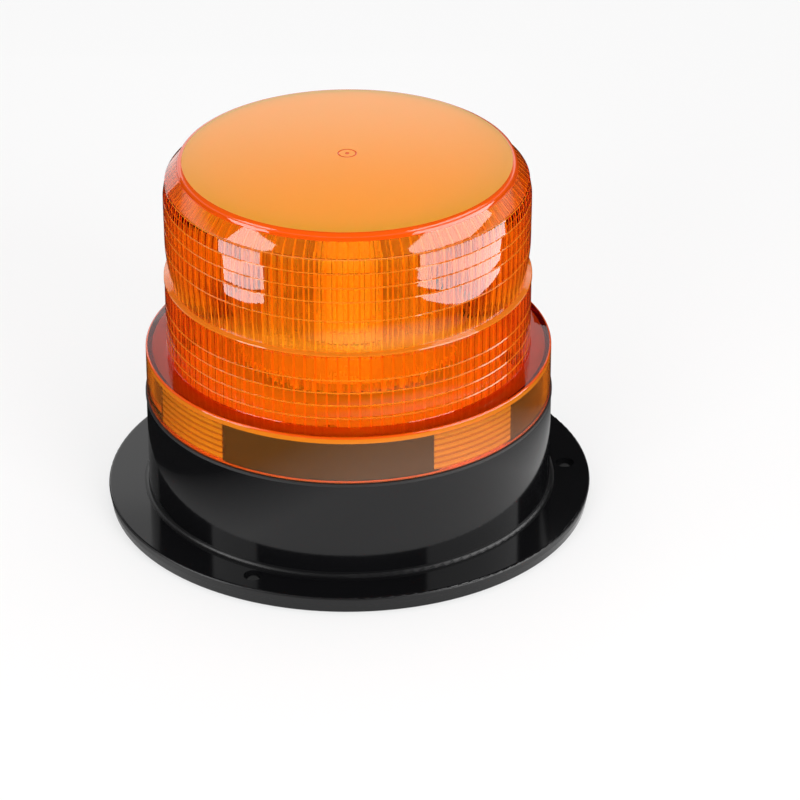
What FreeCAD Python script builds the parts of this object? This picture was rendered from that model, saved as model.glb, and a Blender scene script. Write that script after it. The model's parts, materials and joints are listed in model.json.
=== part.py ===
"""A rotating amber warning beacon on a round mounting flange, about 135 mm wide and 104 mm high.

Frame: millimetres, the origin at the centre of the flange's underside, +Z up through the lens.
-Y is the side that faces the viewer. An angle is measured anticlockwise from +X, seen from above.

A black flanged housing holds a circuit board, a small motor and a white tray. A lamp stands still on
a hollow spindle in the tray's middle, and a mirror turns around it on a geared turntable. An amber
lens with a ribbed skirt drops over a collar on the housing and locks with a short twist.
"""
import FreeCAD, Part
import math
import os
import re
import Sketcher

SIZES = {
    # Flanged housing
    "flange_width": 11.3,
    "flange_thickness": 4.8,
    "flange_draft": 0.6,
    "flange_edge_round": 0.6,
    "bolt_inset": 4.8,
    "bolt_hole_radius": 2.6,
    "bolt_count": 3,
    "bolt_turn": 4.6,
    "wall_thickness": 2.5,
    "wall_foot_round": 0.8,
    "shelf_thickness": 3.0,
    "collar_wall": 3.3,
    "collar_headroom": 0.8,
    # Base cover, its seal and the cable entry
    "cover_recess": 0.5,
    "cover_thickness": 3.0,
    "cover_gap": 0.4,
    "seal_thickness": 0.8,
    "seal_width": 2.2,
    "shoulder_thickness": 2.2,
    "cable_bore_radius": 3.1,
    "grommet_neck_radius": 5.0,
    "grommet_lip_radius": 7.0,
    "grommet_lip": 1.1,
    # Bosses that carry the tray above and the cover below
    "boss_count": 4,
    "boss_turn": 83.1,
    "boss_radius": 4.0,
    "boss_web": 3.0,
    # Fasteners
    "screw_radius": 1.45,
    "screw_clearance": 0.15,
    "screw_head_radius": 2.8,
    "screw_head_height": 1.5,
    "screw_length": 8.0,
    "screw_head_round": 0.5,
    "screw_slot": 0.8,
    "screw_slot_depth": 0.6,
    "small_screw_radius": 0.95,
    "small_head_radius": 1.9,
    "small_head_height": 1.1,
    "small_screw_length": 5.0,
    "small_head_round": 0.4,
    "small_slot": 0.5,
    "small_slot_depth": 0.4,
    # Lens
    "skirt_height": 13.9,
    "ledge_width": 5.8,
    "skirt_inset": 0.2,
    "skirt_wall": 1.8,
    "lens_gap": 0.3,
    "lens_seal_thickness": 0.8,
    "seat_gap": 0.1,
    "ledge_rise": 3.4,
    "ledge_wall": 2.0,
    "rim_round": 1.6,
    "dome_clearance": 2.12,
    "dome_wall": 2.3,
    "foot_band": 2.65,
    "lower_rings": 4,
    "lower_ring_pitch": 3.8,
    "lip_band": 6.4,
    "lip_thickness": 1.0,
    "lip_height": 0.4,
    "waist_band": 10.05,
    "waist_depth": 0.9,
    "upper_inset": 0.3,
    "tall_ring": 5.65,
    "upper_rings": 3,
    "upper_ring_pitch": 4.15,
    "ring_bulge_radius": 30.0,
    "shoulder_round": 5.0,
    "crown_rise": 2.0,
    "crown_wall": 2.4,
    "frosted_disc_radius": 38.7,
    "frosted_disc_depth": 0.3,
    # Twist lock between the lens and the collar
    "window_count": 4,
    "window_turn": 38.1,
    "window_angle": 27.7,
    "window_sill_rise": 2.4,
    "lug_count": 2,
    "lug_angle": 12.0,
    "lug_height": 2.8,
    "lug_reach": 1.7,
    "lug_clearance": 0.3,
    "lug_turn_back": 22.0,
    "lock_stop_angle": 0.6,
    # Tray
    "tray_top": 44.0,
    "tray_thickness": 2.5,
    "tray_gap": 1.1,
    "tray_rim": 1.6,
    "tray_rim_depth": 6.5,
    # Lamp spindle and what it carries
    "spindle_radius": 5.0,
    "spindle_bore_radius": 2.6,
    "spindle_flange_radius": 8.0,
    "spindle_flange": 1.0,
    "spindle_neck_radius": 4.0,
    "spindle_tail": 5.5,
    "nut_size": 15.0,
    "nut_height": 3.5,
    "washer_thickness": 0.5,
    "clip_radius": 7.0,
    "clip_thickness": 0.8,
    "end_float": 0.2,
    # Lamp
    "lamp_base_radius": 9.5,
    "lamp_base_height": 4.0,
    "lamp_radius": 8.6,
    "lamp_wall": 1.0,
    "lamp_height": 28.0,
    "lamp_cap_height": 2.2,
    "post_width": 7.0,
    "led_board_thickness": 1.0,
    "led_board_width": 6.4,
    "led_board_length": 24.0,
    "led_width": 3.5,
    "led_height": 1.0,
    "leds_per_board": 3,
    # Turntable
    "running_gap": 0.05,
    "hub_radius": 9.0,
    "hub_height": 7.8,
    "bush_wall": 1.5,
    "gear_web": 3.0,
    "gear_lift": 2.0,
    "table_module": 0.75,
    "table_teeth": 80,
    "idler_teeth": 12,
    "disc_radius": 31.5,
    "disc_thickness": 0.8,
    # First gear stage
    "motor_module": 0.6,
    "wheel_teeth": 36,
    "pinion_teeth": 10,
    "wheel_face": 2.0,
    "gear_clear": 0.5,
    "backlash": 0.1,
    "tooth_top": 0.8,
    "tooth_root": 1.15,
    "pressure_angle": 20.0,
    "idler_direction": 135.0,
    "motor_direction": 350.0,
    "idler_axle_radius": 1.5,
    # Mirror
    "mirror_half_width": 23.0,
    "mirror_focus": 13.0,
    "mirror_sweep": 10.0,
    "mirror_thickness": 1.5,
    "mirror_height": 40.0,
    "mirror_foot": 2.0,
    "mirror_foot_depth": 27.0,
    "mirror_screw_spread": 9.0,
    "mirror_screw_back": 20.5,
    # Motor
    "motor_radius": 10.0,
    "motor_length": 22.0,
    "motor_shell": 0.6,
    "motor_shaft_radius": 1.0,
    "motor_bush_radius": 3.0,
    "motor_bush_length": 4.4,
    "motor_bush_rise": 1.4,
    "motor_cap_thickness": 2.0,
    "motor_tail": 1.5,
    "armature_radius": 6.5,
    "armature_length": 12.0,
    "air_gap": 0.5,
    "magnet_angle": 120.0,
    "commutator_radius": 2.5,
    "commutator_length": 2.5,
    "motor_screw_spread": 6.2,
    "tab_width": 2.0,
    "tab_thickness": 0.5,
    "tab_length": 4.0,
    "tab_spread": 6.0,
    # Circuit board
    "board_length": 60.0,
    "board_width": 34.0,
    "board_thickness": 1.6,
    "board_standoff": 6.5,
    "board_centre": -23.0,
    "board_corner": 4.0,
    "standoff_radius": 3.0,
    "capacitor_radius": 5.0,
    "capacitor_height": 16.0,
    "capacitor_edge_round": 0.6,
    "capacitor_offset": 15.0,
    "terminal_length": 15.0,
    "terminal_width": 8.0,
    "terminal_height": 9.0,
    "terminal_inset": 6.0,
    "choke_radius": 6.5,
    "choke_wire": 2.2,
    "choke_offset": 18.0,
    "chip_length": 9.0,
    "chip_width": 6.0,
    "chip_height": 1.8,
    "chip_offset": 5.0,
    "rectifier_length": 10.0,
    "rectifier_width": 4.0,
    "rectifier_height": 8.0,
    "rectifier_inset": 5.7,
}

doc = FreeCAD.newDocument("rotating_beacon")
sheet = doc.addObject("Spreadsheet::Sheet", "sizes")
for row, (alias, number) in enumerate(SIZES.items(), start=1):
    sheet.set(f"A{row}", alias)
    sheet.set(f"B{row}", str(number))
    sheet.setAlias(f"B{row}", alias)
doc.recompute()


def bound(expression):
    """The expression with each size written as a cell of the sheet."""
    def as_cell(word):
        return "sizes." + word[0] if word[0] in SIZES else word[0]

    return re.sub(r"[a-z]\w+", as_cell, str(expression))


def value(expression):
    """The number that an expression comes to with the sheet's sizes."""
    return float(sheet.evalExpression(bound(expression)))


# Heights and radii that several pieces share, each an expression in the sheet's sizes.
STAGE_TWO = "(table_module * (table_teeth + idler_teeth) / 2)"
STAGE_ONE = "(motor_module * (wheel_teeth + pinion_teeth) / 2)"
WHEEL_TIP = "(motor_module * (wheel_teeth / 2 + tooth_top))"
DOME_INSIDE = f"({STAGE_TWO} + {WHEEL_TIP} + dome_clearance)"
DOME_RADIUS = f"({DOME_INSIDE} + dome_wall)"
SKIRT_RADIUS = f"({DOME_RADIUS} + ledge_width)"
WALL_RADIUS = f"({SKIRT_RADIUS} + skirt_inset)"
FLANGE_RADIUS = f"({WALL_RADIUS} + flange_width)"
BOLT_CIRCLE = f"({WALL_RADIUS} + bolt_inset)"
LEDGE_HEIGHT = "(tray_top + ledge_rise)"
SKIRT_BOTTOM = f"({LEDGE_HEIGHT} - skirt_height)"
SKIRT_INSIDE = f"({SKIRT_RADIUS} - skirt_wall)"
COLLAR_OUTSIDE = f"({SKIRT_INSIDE} - lens_gap)"
COLLAR_INSIDE = f"({COLLAR_OUTSIDE} - collar_wall)"
COLLAR_TOP = f"({LEDGE_HEIGHT} - ledge_wall - collar_headroom)"
WALL_INSIDE = f"({WALL_RADIUS} - wall_thickness)"
WALL_TOP = f"({SKIRT_BOTTOM} - seat_gap - lens_seal_thickness)"
WINDOW_SILL = f"({WALL_TOP} + window_sill_rise)"
SHELF_BOTTOM = f"({WALL_TOP} - shelf_thickness)"
COVER_TOP = "(cover_recess + cover_thickness)"
SHOULDER_BOTTOM = f"({COVER_TOP} + seal_thickness)"
SHOULDER_TOP = f"({SHOULDER_BOTTOM} + shoulder_thickness)"
SEAL_OUTSIDE = f"({WALL_INSIDE} - cover_gap)"
SEAL_INSIDE = f"({SEAL_OUTSIDE} - seal_width)"
TRAY_RADIUS = f"({COLLAR_INSIDE} - tray_gap)"
TRAY_BOTTOM = "(tray_top - tray_thickness)"
BOSS_CIRCLE = f"({TRAY_RADIUS} - boss_radius)"
HOLE_RADIUS = "(screw_radius + screw_clearance)"
HEAD_RECESS = "(screw_head_radius + 2 * screw_clearance)"
SMALL_HOLE_RADIUS = "(small_screw_radius + screw_clearance)"
SMALL_RECESS = "(small_head_radius + screw_clearance)"

FLANGE_TOP = "(tray_top + spindle_flange)"
HUB_BOTTOM = f"({FLANGE_TOP} + washer_thickness)"
HUB_TOP = f"({HUB_BOTTOM} + hub_height)"
CLIP_BOTTOM = f"({HUB_TOP} + end_float)"
LAMP_BOTTOM = f"({CLIP_BOTTOM} + clip_thickness)"
LAMP_TUBE_BOTTOM = f"({LAMP_BOTTOM} + lamp_base_height)"
LAMP_TUBE_TOP = f"({LAMP_TUBE_BOTTOM} + lamp_height)"
TABLE_BOTTOM = f"({HUB_BOTTOM} + gear_lift)"
DISC_BOTTOM = f"({TABLE_BOTTOM} + gear_web)"
DISC_TOP = f"({DISC_BOTTOM} + disc_thickness)"
HUB_BORE = "(spindle_radius + running_gap)"
BUSH_OUTSIDE = f"({HUB_BORE} + bush_wall)"
WHEEL_BOTTOM = "(tray_top + gear_clear)"
WHEEL_TOP = f"({WHEEL_BOTTOM} + wheel_face)"
IDLER_X = f"({STAGE_TWO} * cos(idler_direction * 1deg))"
IDLER_Y = f"({STAGE_TWO} * sin(idler_direction * 1deg))"
MOTOR_X = f"({IDLER_X} + {STAGE_ONE} * cos(motor_direction * 1deg))"
MOTOR_Y = f"({IDLER_Y} + {STAGE_ONE} * sin(motor_direction * 1deg))"
MOTOR_BOTTOM = f"({TRAY_BOTTOM} - motor_length)"
BOARD_BOTTOM = f"({COVER_TOP} + board_standoff)"
BOARD_TOP = f"({BOARD_BOTTOM} + board_thickness)"
BOARD_HOLE_X = "(board_length / 2 - board_corner)"
BOARD_HOLE_Y = "(board_width / 2 - board_corner)"

FULL_TURN = 360
HALF_TURN = 180
TINY = 1e-6
NODES = {}


def keep(name, thing):
    """Name a finished sub-part and list it for export."""
    thing.Label = name
    NODES[name] = thing
    return thing


def new_body(name):
    """An empty body of its own for one sub-part."""
    return keep(name, doc.addObject("PartDesign::Body", name + "_body"))


def origin_part(body, role):
    """One of a body's own origin planes or axes, found by its role."""
    return next(part for part in body.Origin.OriginFeatures if part.Role == role)


def new_sketch(body, plane, height="0", turn="0"):
    """A sketch on an origin plane: a level one at a height, or an upright one, turned about Z."""
    sketch = body.newObject("Sketcher::SketchObject", "outline")
    sketch.AttachmentSupport = [(origin_part(body, plane), "")]
    sketch.MapMode = "FlatFace"
    level = plane == "XY_Plane"
    spin_axis = FreeCAD.Vector(0, 0, 1) if level else FreeCAD.Vector(0, 1, 0)
    lift = FreeCAD.Vector(0, 0, value(height)) if level else FreeCAD.Vector()
    sketch.AttachmentOffset = FreeCAD.Placement(lift, FreeCAD.Rotation(spin_axis, value(turn)))
    if level:
        sketch.setExpression(".AttachmentOffset.Base.z", bound(height))
    if value(turn):
        sketch.setExpression(".AttachmentOffset.Rotation.Angle", bound(turn))
    return sketch


def pin_point(sketch, edge, end, across, along):
    """Hold one end of an edge at a place that follows the sheet."""
    for kind, expression, axis in (("DistanceX", across, -2), ("DistanceY", along, -1)):
        number = value(expression)
        if abs(number) < TINY:
            sketch.addConstraint(Sketcher.Constraint("PointOnObject", edge, end, axis))
        else:
            index = sketch.addConstraint(Sketcher.Constraint(kind, edge, end, number))
            sketch.setExpression(f"Constraints[{index}]", bound(expression))


def arc_between(start, end, radius):
    """The short arc from start to end that bulges to the right of the way between them."""
    chord = end - start
    half = chord.Length / 2
    side = FreeCAD.Vector(chord.y, -chord.x, 0).normalize()
    sagitta = radius - math.sqrt(radius * radius - half * half)
    return Part.Arc(start, (start + end) / 2 + side * sagitta, end)


def closed_outline(sketch, corners):
    """Straight edges and arcs through corners (across, along[, radius of the arc to the next one]).

    An arc with a positive radius bulges to the right of the way round, and with a negative one to the left.
    """
    points = [FreeCAD.Vector(value(corner[0]), value(corner[1]), 0) for corner in corners]
    first = sketch.GeometryCount
    ends = []
    for index, corner in enumerate(corners):
        start = points[index]
        end = points[(index + 1) % len(points)]
        if len(corner) == 2:
            sketch.addGeometry(Part.LineSegment(start, end))
            ends.append((1, 2))
        elif value(corner[2]) > 0:
            sketch.addGeometry(arc_between(start, end, value(corner[2])))
            ends.append((1, 2))
        else:
            sketch.addGeometry(arc_between(end, start, -value(corner[2])))
            ends.append((2, 1))
    for index, corner in enumerate(corners):
        edge = first + index
        following = (index + 1) % len(corners)
        sketch.addConstraint(Sketcher.Constraint("Coincident", edge, ends[index][1],
                                                 first + following, ends[following][0]))
    for index, corner in enumerate(corners):
        edge = first + index
        pin_point(sketch, edge, ends[index][0], corner[0], corner[1])
        if len(corner) == 3:
            held = sketch.addConstraint(Sketcher.Constraint("Radius", edge, abs(value(corner[2]))))
            sketch.setExpression(f"Constraints[{held}]", bound(f"abs({corner[2]})"))


def circle_outline(sketch, across, along, radius):
    """One circle whose centre and radius follow the sheet."""
    centre = FreeCAD.Vector(value(across), value(along), 0)
    edge = sketch.addGeometry(Part.Circle(centre, FreeCAD.Vector(0, 0, 1), value(radius)))
    pin_point(sketch, edge, 3, across, along)
    held = sketch.addConstraint(Sketcher.Constraint("Radius", edge, value(radius)))
    sketch.setExpression(f"Constraints[{held}]", bound(radius))


def turned(body, corners):
    """A body of revolution about Z from an outline of (radius, height) corners."""
    sketch = new_sketch(body, "XZ_Plane")
    closed_outline(sketch, corners)
    feature = body.newObject("PartDesign::Revolution", "turned")
    feature.Profile = sketch
    feature.ReferenceAxis = (sketch, ["V_Axis"])
    feature.Angle = FULL_TURN
    return feature


def padded(body, sketch, height):
    """The outline raised by a height."""
    feature = body.newObject("PartDesign::Pad", "raised")
    feature.Profile = sketch
    feature.Length = value(height)
    feature.setExpression("Length", bound(height))
    return feature


def pocketed(body, sketch, depth):
    """The outline cut upwards by a depth."""
    feature = body.newObject("PartDesign::Pocket", "cut")
    feature.Profile = sketch
    feature.Length = value(depth)
    feature.setExpression("Length", bound(depth))
    feature.Reversed = True
    return feature


def swept_about(body, kind, corners, turn, angle):
    """An outline of (radius, height) corners swept about Z over an angle, to both sides of a turn."""
    sketch = new_sketch(body, "XZ_Plane", turn=turn)
    closed_outline(sketch, corners)
    feature = body.newObject("PartDesign::" + kind, "sector")
    feature.Profile = sketch
    feature.ReferenceAxis = (sketch, ["V_Axis"])
    feature.Angle = value(angle)
    feature.setExpression("Angle", bound(angle))
    feature.Midplane = True
    return feature


def repeated(body, features, count):
    """The features repeated at equal angles about Z."""
    pattern = body.newObject("PartDesign::PolarPattern", "ring")
    pattern.Originals = features
    pattern.Axis = (origin_part(body, "Z_Axis"), [""])
    pattern.Angle = FULL_TURN
    pattern.Occurrences = round(value(count))
    pattern.setExpression("Occurrences", bound(count))
    body.Tip = pattern
    return pattern


def ring_body(name, inside, outside, bottom, top):
    """A plain tube or washer about the main axis."""
    body = new_body(name)
    turned(body, [(inside, bottom), (outside, bottom), (outside, top), (inside, top)])
    return body


def move_to(thing, across, along):
    """Stand a finished sub-part at a place in plan that follows the sheet."""
    thing.Placement.Base = FreeCAD.Vector(value(across), value(along), 0)
    thing.setExpression(".Placement.Base.x", bound(across))
    thing.setExpression(".Placement.Base.y", bound(along))


def block(name, length, width, height, across, along, bottom):
    """A rectangular piece, given by its size and the middle of its underside."""
    piece = keep(name, doc.addObject("Part::Box", name + "_block"))
    for side, size in (("Length", length), ("Width", width), ("Height", height)):
        piece.setExpression(side, bound(size))
    piece.setExpression(".Placement.Base.x", bound(f"{across} - {length} / 2"))
    piece.setExpression(".Placement.Base.y", bound(f"{along} - {width} / 2"))
    piece.setExpression(".Placement.Base.z", bound(bottom))
    return piece


def spot(radius, angle):
    """The point in plan at a radius and an angle in degrees."""
    return FreeCAD.Vector(radius * math.cos(math.radians(angle)), radius * math.sin(math.radians(angle)), 0)


def ring_of_spots(radius, turn, count):
    """Equally spaced points on a circle, from numbers in the sheet."""
    step = FULL_TURN / value(count)
    return [spot(value(radius), value(turn) + step * index) for index in range(round(value(count)))]


def cylinder(radius, bottom, top, place=FreeCAD.Vector()):
    """A plain upright cylinder between two heights."""
    return Part.makeCylinder(radius, top - bottom, place + FreeCAD.Vector(0, 0, bottom))


def group(name, solids):
    """Separate solids of one kind that share a node."""
    feature = doc.addObject("Part::Feature", name + "_group")
    feature.Shape = Part.makeCompound(solids)
    return keep(name, feature)


def screw(place, seat, small=False, upwards=False):
    """A pan head screw whose head rests on a seat height; its shank points down, or up."""
    whole, part = ("small_screw", "small") if small else ("screw", "screw")
    head = value(part + "_head_radius")
    head_height = value(part + "_head_height")
    slot = value(part + "_slot")
    slot_depth = value(part + "_slot_depth")
    solid = cylinder(value(whole + "_radius"), -value(whole + "_length"), 0)
    solid = solid.fuse(cylinder(head, 0, head_height))
    rim = [edge for edge in solid.Edges if abs(edge.BoundBox.ZMin - head_height) < TINY]
    solid = solid.makeFillet(value(part + "_head_round"), rim)
    reach = head - slot
    across = Part.makeBox(2 * reach, slot, slot_depth,
                          FreeCAD.Vector(-reach, -slot / 2, head_height - slot_depth))
    along = Part.makeBox(slot, 2 * reach, slot_depth,
                         FreeCAD.Vector(-slot / 2, -reach, head_height - slot_depth))
    solid = solid.cut(across.fuse(along))
    if upwards:
        solid.rotate(FreeCAD.Vector(), FreeCAD.Vector(1, 0, 0), HALF_TURN)
    solid.translate(place + FreeCAD.Vector(0, 0, seat))
    return solid.removeSplitter()


# Housing

def flanged_housing():
    """The black moulding: flange, wall, shelf, collar with four windows, and four screw bosses."""
    body = new_body("base_housing")
    underside = f"({FLANGE_RADIUS} - flange_draft)"
    turned(body, [
        (WALL_INSIDE, "0"),
        (f"{underside} - flange_edge_round", "0", "flange_edge_round"),
        (underside, "flange_edge_round"),
        (FLANGE_RADIUS, "flange_thickness - flange_edge_round", "flange_edge_round"),
        (f"{FLANGE_RADIUS} - flange_edge_round", "flange_thickness"),
        (f"{WALL_RADIUS} + wall_foot_round", "flange_thickness", "-wall_foot_round"),
        (WALL_RADIUS, "flange_thickness + wall_foot_round"),
        (WALL_RADIUS, WALL_TOP),
        (COLLAR_OUTSIDE, WALL_TOP),
        (COLLAR_OUTSIDE, COLLAR_TOP),
        (COLLAR_INSIDE, COLLAR_TOP),
        (COLLAR_INSIDE, SHELF_BOTTOM),
        (WALL_INSIDE, SHELF_BOTTOM),
        (WALL_INSIDE, SHOULDER_TOP),
        (f"{SEAL_INSIDE} - cover_gap", SHOULDER_TOP),
        (f"{SEAL_INSIDE} - cover_gap", SHOULDER_BOTTOM),
        (WALL_INSIDE, SHOULDER_BOTTOM),
    ])
    hole = new_sketch(body, "XY_Plane", turn="bolt_turn")
    circle_outline(hole, BOLT_CIRCLE, "0", "bolt_hole_radius")
    repeated(body, [pocketed(body, hole, "flange_thickness")], "bolt_count")

    window = swept_about(body, "Groove", [
        (f"{COLLAR_INSIDE} - lens_gap", WINDOW_SILL),
        (f"{COLLAR_OUTSIDE} + lens_gap", WINDOW_SILL),
        (f"{COLLAR_OUTSIDE} + lens_gap", f"{COLLAR_TOP} + lens_gap"),
        (f"{COLLAR_INSIDE} - lens_gap", f"{COLLAR_TOP} + lens_gap"),
    ], "window_turn", "window_angle")
    repeated(body, [window], "window_count")
    slot_inside = f"({SKIRT_INSIDE} - lug_reach - lug_clearance)"
    slot_angle = "(lug_turn_back + lug_angle / 2 + lock_stop_angle - window_angle / 4)"
    slot = swept_about(body, "Groove", [
        (slot_inside, WINDOW_SILL),
        (f"{COLLAR_OUTSIDE} + lens_gap", WINDOW_SILL),
        (f"{COLLAR_OUTSIDE} + lens_gap", f"{WINDOW_SILL} + lug_height + 2 * lug_clearance"),
        (slot_inside, f"{WINDOW_SILL} + lug_height + 2 * lug_clearance"),
    ], f"window_turn - window_angle / 4 - {slot_angle} / 2", slot_angle)
    repeated(body, [slot], "lug_count")

    web_parts = []
    for bottom, top, reach in ((SHOULDER_BOTTOM, SHELF_BOTTOM, f"({WALL_INSIDE} + lens_gap)"),
                               (SHELF_BOTTOM, TRAY_BOTTOM, f"({COLLAR_OUTSIDE} - collar_wall / 2)")):
        web = new_sketch(body, "XY_Plane", bottom, "boss_turn")
        closed_outline(web, [(BOSS_CIRCLE, "-boss_web / 2"), (reach, "-boss_web / 2"),
                             (reach, "boss_web / 2"), (BOSS_CIRCLE, "boss_web / 2")])
        web_parts.append(padded(body, web, f"{top} - {bottom}"))
    post = new_sketch(body, "XY_Plane", COVER_TOP, "boss_turn")
    circle_outline(post, BOSS_CIRCLE, "0", "boss_radius")
    web_parts.append(padded(body, post, f"{TRAY_BOTTOM} - {COVER_TOP}"))
    repeated(body, web_parts, "boss_count")
    for bottom in (COVER_TOP, f"({TRAY_BOTTOM} - screw_length)"):
        pilot = new_sketch(body, "XY_Plane", bottom, "boss_turn")
        circle_outline(pilot, BOSS_CIRCLE, "0", "screw_radius")
        repeated(body, [pocketed(body, pilot, "screw_length")], "boss_count")


def cover_and_cable_entry():
    """The recessed base cover with its board posts, its seal, its screws and the cable grommet."""
    body = new_body("base_cover")
    recess_top = "(cover_recess + grommet_lip)"
    turned(body, [
        ("grommet_neck_radius", recess_top),
        ("grommet_lip_radius + cover_gap", recess_top),
        ("grommet_lip_radius + cover_gap", "cover_recess"),
        (SEAL_OUTSIDE, "cover_recess"),
        (SEAL_OUTSIDE, COVER_TOP),
        ("grommet_neck_radius", COVER_TOP),
    ])
    for across in (f"-{BOARD_HOLE_X}", BOARD_HOLE_X):
        for along in (f"board_centre - {BOARD_HOLE_Y}", f"board_centre + {BOARD_HOLE_Y}"):
            post = new_sketch(body, "XY_Plane", COVER_TOP)
            circle_outline(post, across, along, "standoff_radius")
            padded(body, post, "board_standoff")
            pilot = new_sketch(body, "XY_Plane", f"{BOARD_BOTTOM} - small_screw_length")
            circle_outline(pilot, across, along, "small_screw_radius")
            pocketed(body, pilot, "small_screw_length")
    passage = new_sketch(body, "XY_Plane", turn="boss_turn")
    circle_outline(passage, BOSS_CIRCLE, "0", HOLE_RADIUS)
    through = pocketed(body, passage, COVER_TOP)
    sunk = new_sketch(body, "XY_Plane", turn="boss_turn")
    circle_outline(sunk, BOSS_CIRCLE, "0", HEAD_RECESS)
    recess = pocketed(body, sunk, "cover_recess + screw_head_height + screw_clearance")
    repeated(body, [through, recess], "boss_count")

    ring_body("base_seal", SEAL_INSIDE, SEAL_OUTSIDE, COVER_TOP, SHOULDER_BOTTOM)
    seat = value("cover_recess + screw_head_height + screw_clearance")
    places = ring_of_spots(BOSS_CIRCLE, "boss_turn", "boss_count")
    group("base_cover_screws", [screw(place, seat, upwards=True) for place in places])

    grommet = new_body("cable_grommet")
    turned(grommet, [
        ("cable_bore_radius", "cover_recess"),
        ("grommet_lip_radius", "cover_recess"),
        ("grommet_lip_radius", recess_top),
        ("grommet_neck_radius", recess_top),
        ("grommet_neck_radius", COVER_TOP),
        ("grommet_lip_radius", COVER_TOP),
        ("grommet_lip_radius - grommet_lip / 2", f"{COVER_TOP} + grommet_lip"),
        ("cable_bore_radius", f"{COVER_TOP} + grommet_lip"),
    ])


# Circuit board

def circuit_board():
    """The supply board on the cover's posts, with its screws and the parts that stand on it."""
    body = new_body("circuit_board")
    plate = new_sketch(body, "XY_Plane", BOARD_BOTTOM)
    left, right = "-board_length / 2", "board_length / 2"
    front, back = "board_centre - board_width / 2", "board_centre + board_width / 2"
    closed_outline(plate, [(left, front), (right, front), (right, back), (left, back)])
    for across in (f"-{BOARD_HOLE_X}", BOARD_HOLE_X):
        for along in (f"board_centre - {BOARD_HOLE_Y}", f"board_centre + {BOARD_HOLE_Y}"):
            circle_outline(plate, across, along, SMALL_HOLE_RADIUS)
    padded(body, plate, "board_thickness")
    reach = value(BOARD_HOLE_X)
    spread = value(BOARD_HOLE_Y)
    middle = value("board_centre")
    places = [FreeCAD.Vector(x, middle + y, 0) for x in (-reach, reach) for y in (-spread, spread)]
    group("board_screws", [screw(place, value(BOARD_TOP), small=True) for place in places])

    capacitor = new_body("capacitor")
    top = f"({BOARD_TOP} + capacitor_height)"
    turned(capacitor, [
        ("0", BOARD_TOP),
        ("capacitor_radius", BOARD_TOP),
        ("capacitor_radius", f"{top} - capacitor_edge_round", "capacitor_edge_round"),
        ("capacitor_radius - capacitor_edge_round", top),
        ("0", top),
    ])
    move_to(capacitor, "-capacitor_offset", "board_centre")
    block("terminal_block", "terminal_length", "terminal_width", "terminal_height",
          "0", f"{back} - terminal_inset", BOARD_TOP)
    block("driver_chip", "chip_length", "chip_width", "chip_height",
          "chip_offset", "board_centre", BOARD_TOP)
    block("rectifier", "rectifier_length", "rectifier_width", "rectifier_height",
          "0", f"{front} + rectifier_inset", BOARD_TOP)
    choke = keep("choke_coil", doc.addObject("Part::Torus", "choke_ring"))
    choke.setExpression("Radius1", bound("choke_radius - choke_wire"))
    choke.setExpression("Radius2", bound("choke_wire"))
    choke.setExpression(".Placement.Base.x", bound("choke_offset"))
    choke.setExpression(".Placement.Base.y", bound("board_centre"))
    choke.setExpression(".Placement.Base.z", bound(f"{BOARD_TOP} + choke_wire"))


# Tray

def tray():
    """The white tray that closes the housing under the lens and carries the motor and the spindle."""
    body = new_body("tray")
    rim_bottom = f"({TRAY_BOTTOM} - tray_rim_depth)"
    turned(body, [
        ("spindle_radius", TRAY_BOTTOM),
        (f"{TRAY_RADIUS} - tray_rim", TRAY_BOTTOM),
        (f"{TRAY_RADIUS} - tray_rim", rim_bottom),
        (TRAY_RADIUS, rim_bottom),
        (TRAY_RADIUS, "tray_top"),
        ("spindle_radius", "tray_top"),
    ])
    relief = new_sketch(body, "XY_Plane", rim_bottom, "boss_turn")
    side = "(boss_radius + cover_gap)"
    closed_outline(relief, [(BOSS_CIRCLE, f"-{side}"), (f"{TRAY_RADIUS} + cover_gap", f"-{side}"),
                            (f"{TRAY_RADIUS} + cover_gap", side), (BOSS_CIRCLE, side)])
    passage = new_sketch(body, "XY_Plane", TRAY_BOTTOM, "boss_turn")
    circle_outline(passage, BOSS_CIRCLE, "0", HOLE_RADIUS)
    sunk = new_sketch(body, "XY_Plane", "tray_top - screw_head_height / 2", "boss_turn")
    circle_outline(sunk, BOSS_CIRCLE, "0", HEAD_RECESS)
    cuts = [pocketed(body, relief, "tray_rim_depth"), pocketed(body, passage, "tray_thickness"),
            pocketed(body, sunk, "screw_head_height / 2")]
    repeated(body, cuts, "boss_count")
    bush_hole = new_sketch(body, "XY_Plane", TRAY_BOTTOM)
    circle_outline(bush_hole, MOTOR_X, MOTOR_Y, "motor_bush_radius + cover_gap")
    pocketed(body, bush_hole, "tray_thickness")
    axle_hole = new_sketch(body, "XY_Plane", TRAY_BOTTOM)
    circle_outline(axle_hole, IDLER_X, IDLER_Y, "idler_axle_radius")
    pocketed(body, axle_hole, "tray_thickness")
    for sign in ("-", "+"):
        across = f"{MOTOR_X} {sign} motor_screw_spread * sin(motor_direction * 1deg)"
        along = f"{MOTOR_Y} {'+' if sign == '-' else '-'} motor_screw_spread * cos(motor_direction * 1deg)"
        hole = new_sketch(body, "XY_Plane", TRAY_BOTTOM)
        circle_outline(hole, across, along, SMALL_HOLE_RADIUS)
        pocketed(body, hole, "tray_thickness")
        recess = new_sketch(body, "XY_Plane", "tray_top - small_head_height - screw_clearance")
        circle_outline(recess, across, along, SMALL_RECESS)
        pocketed(body, recess, "small_head_height + screw_clearance")
    places = ring_of_spots(BOSS_CIRCLE, "boss_turn", "boss_count")
    group("tray_screws", [screw(place, value("tray_top - screw_head_height / 2")) for place in places])


# Lamp

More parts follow.
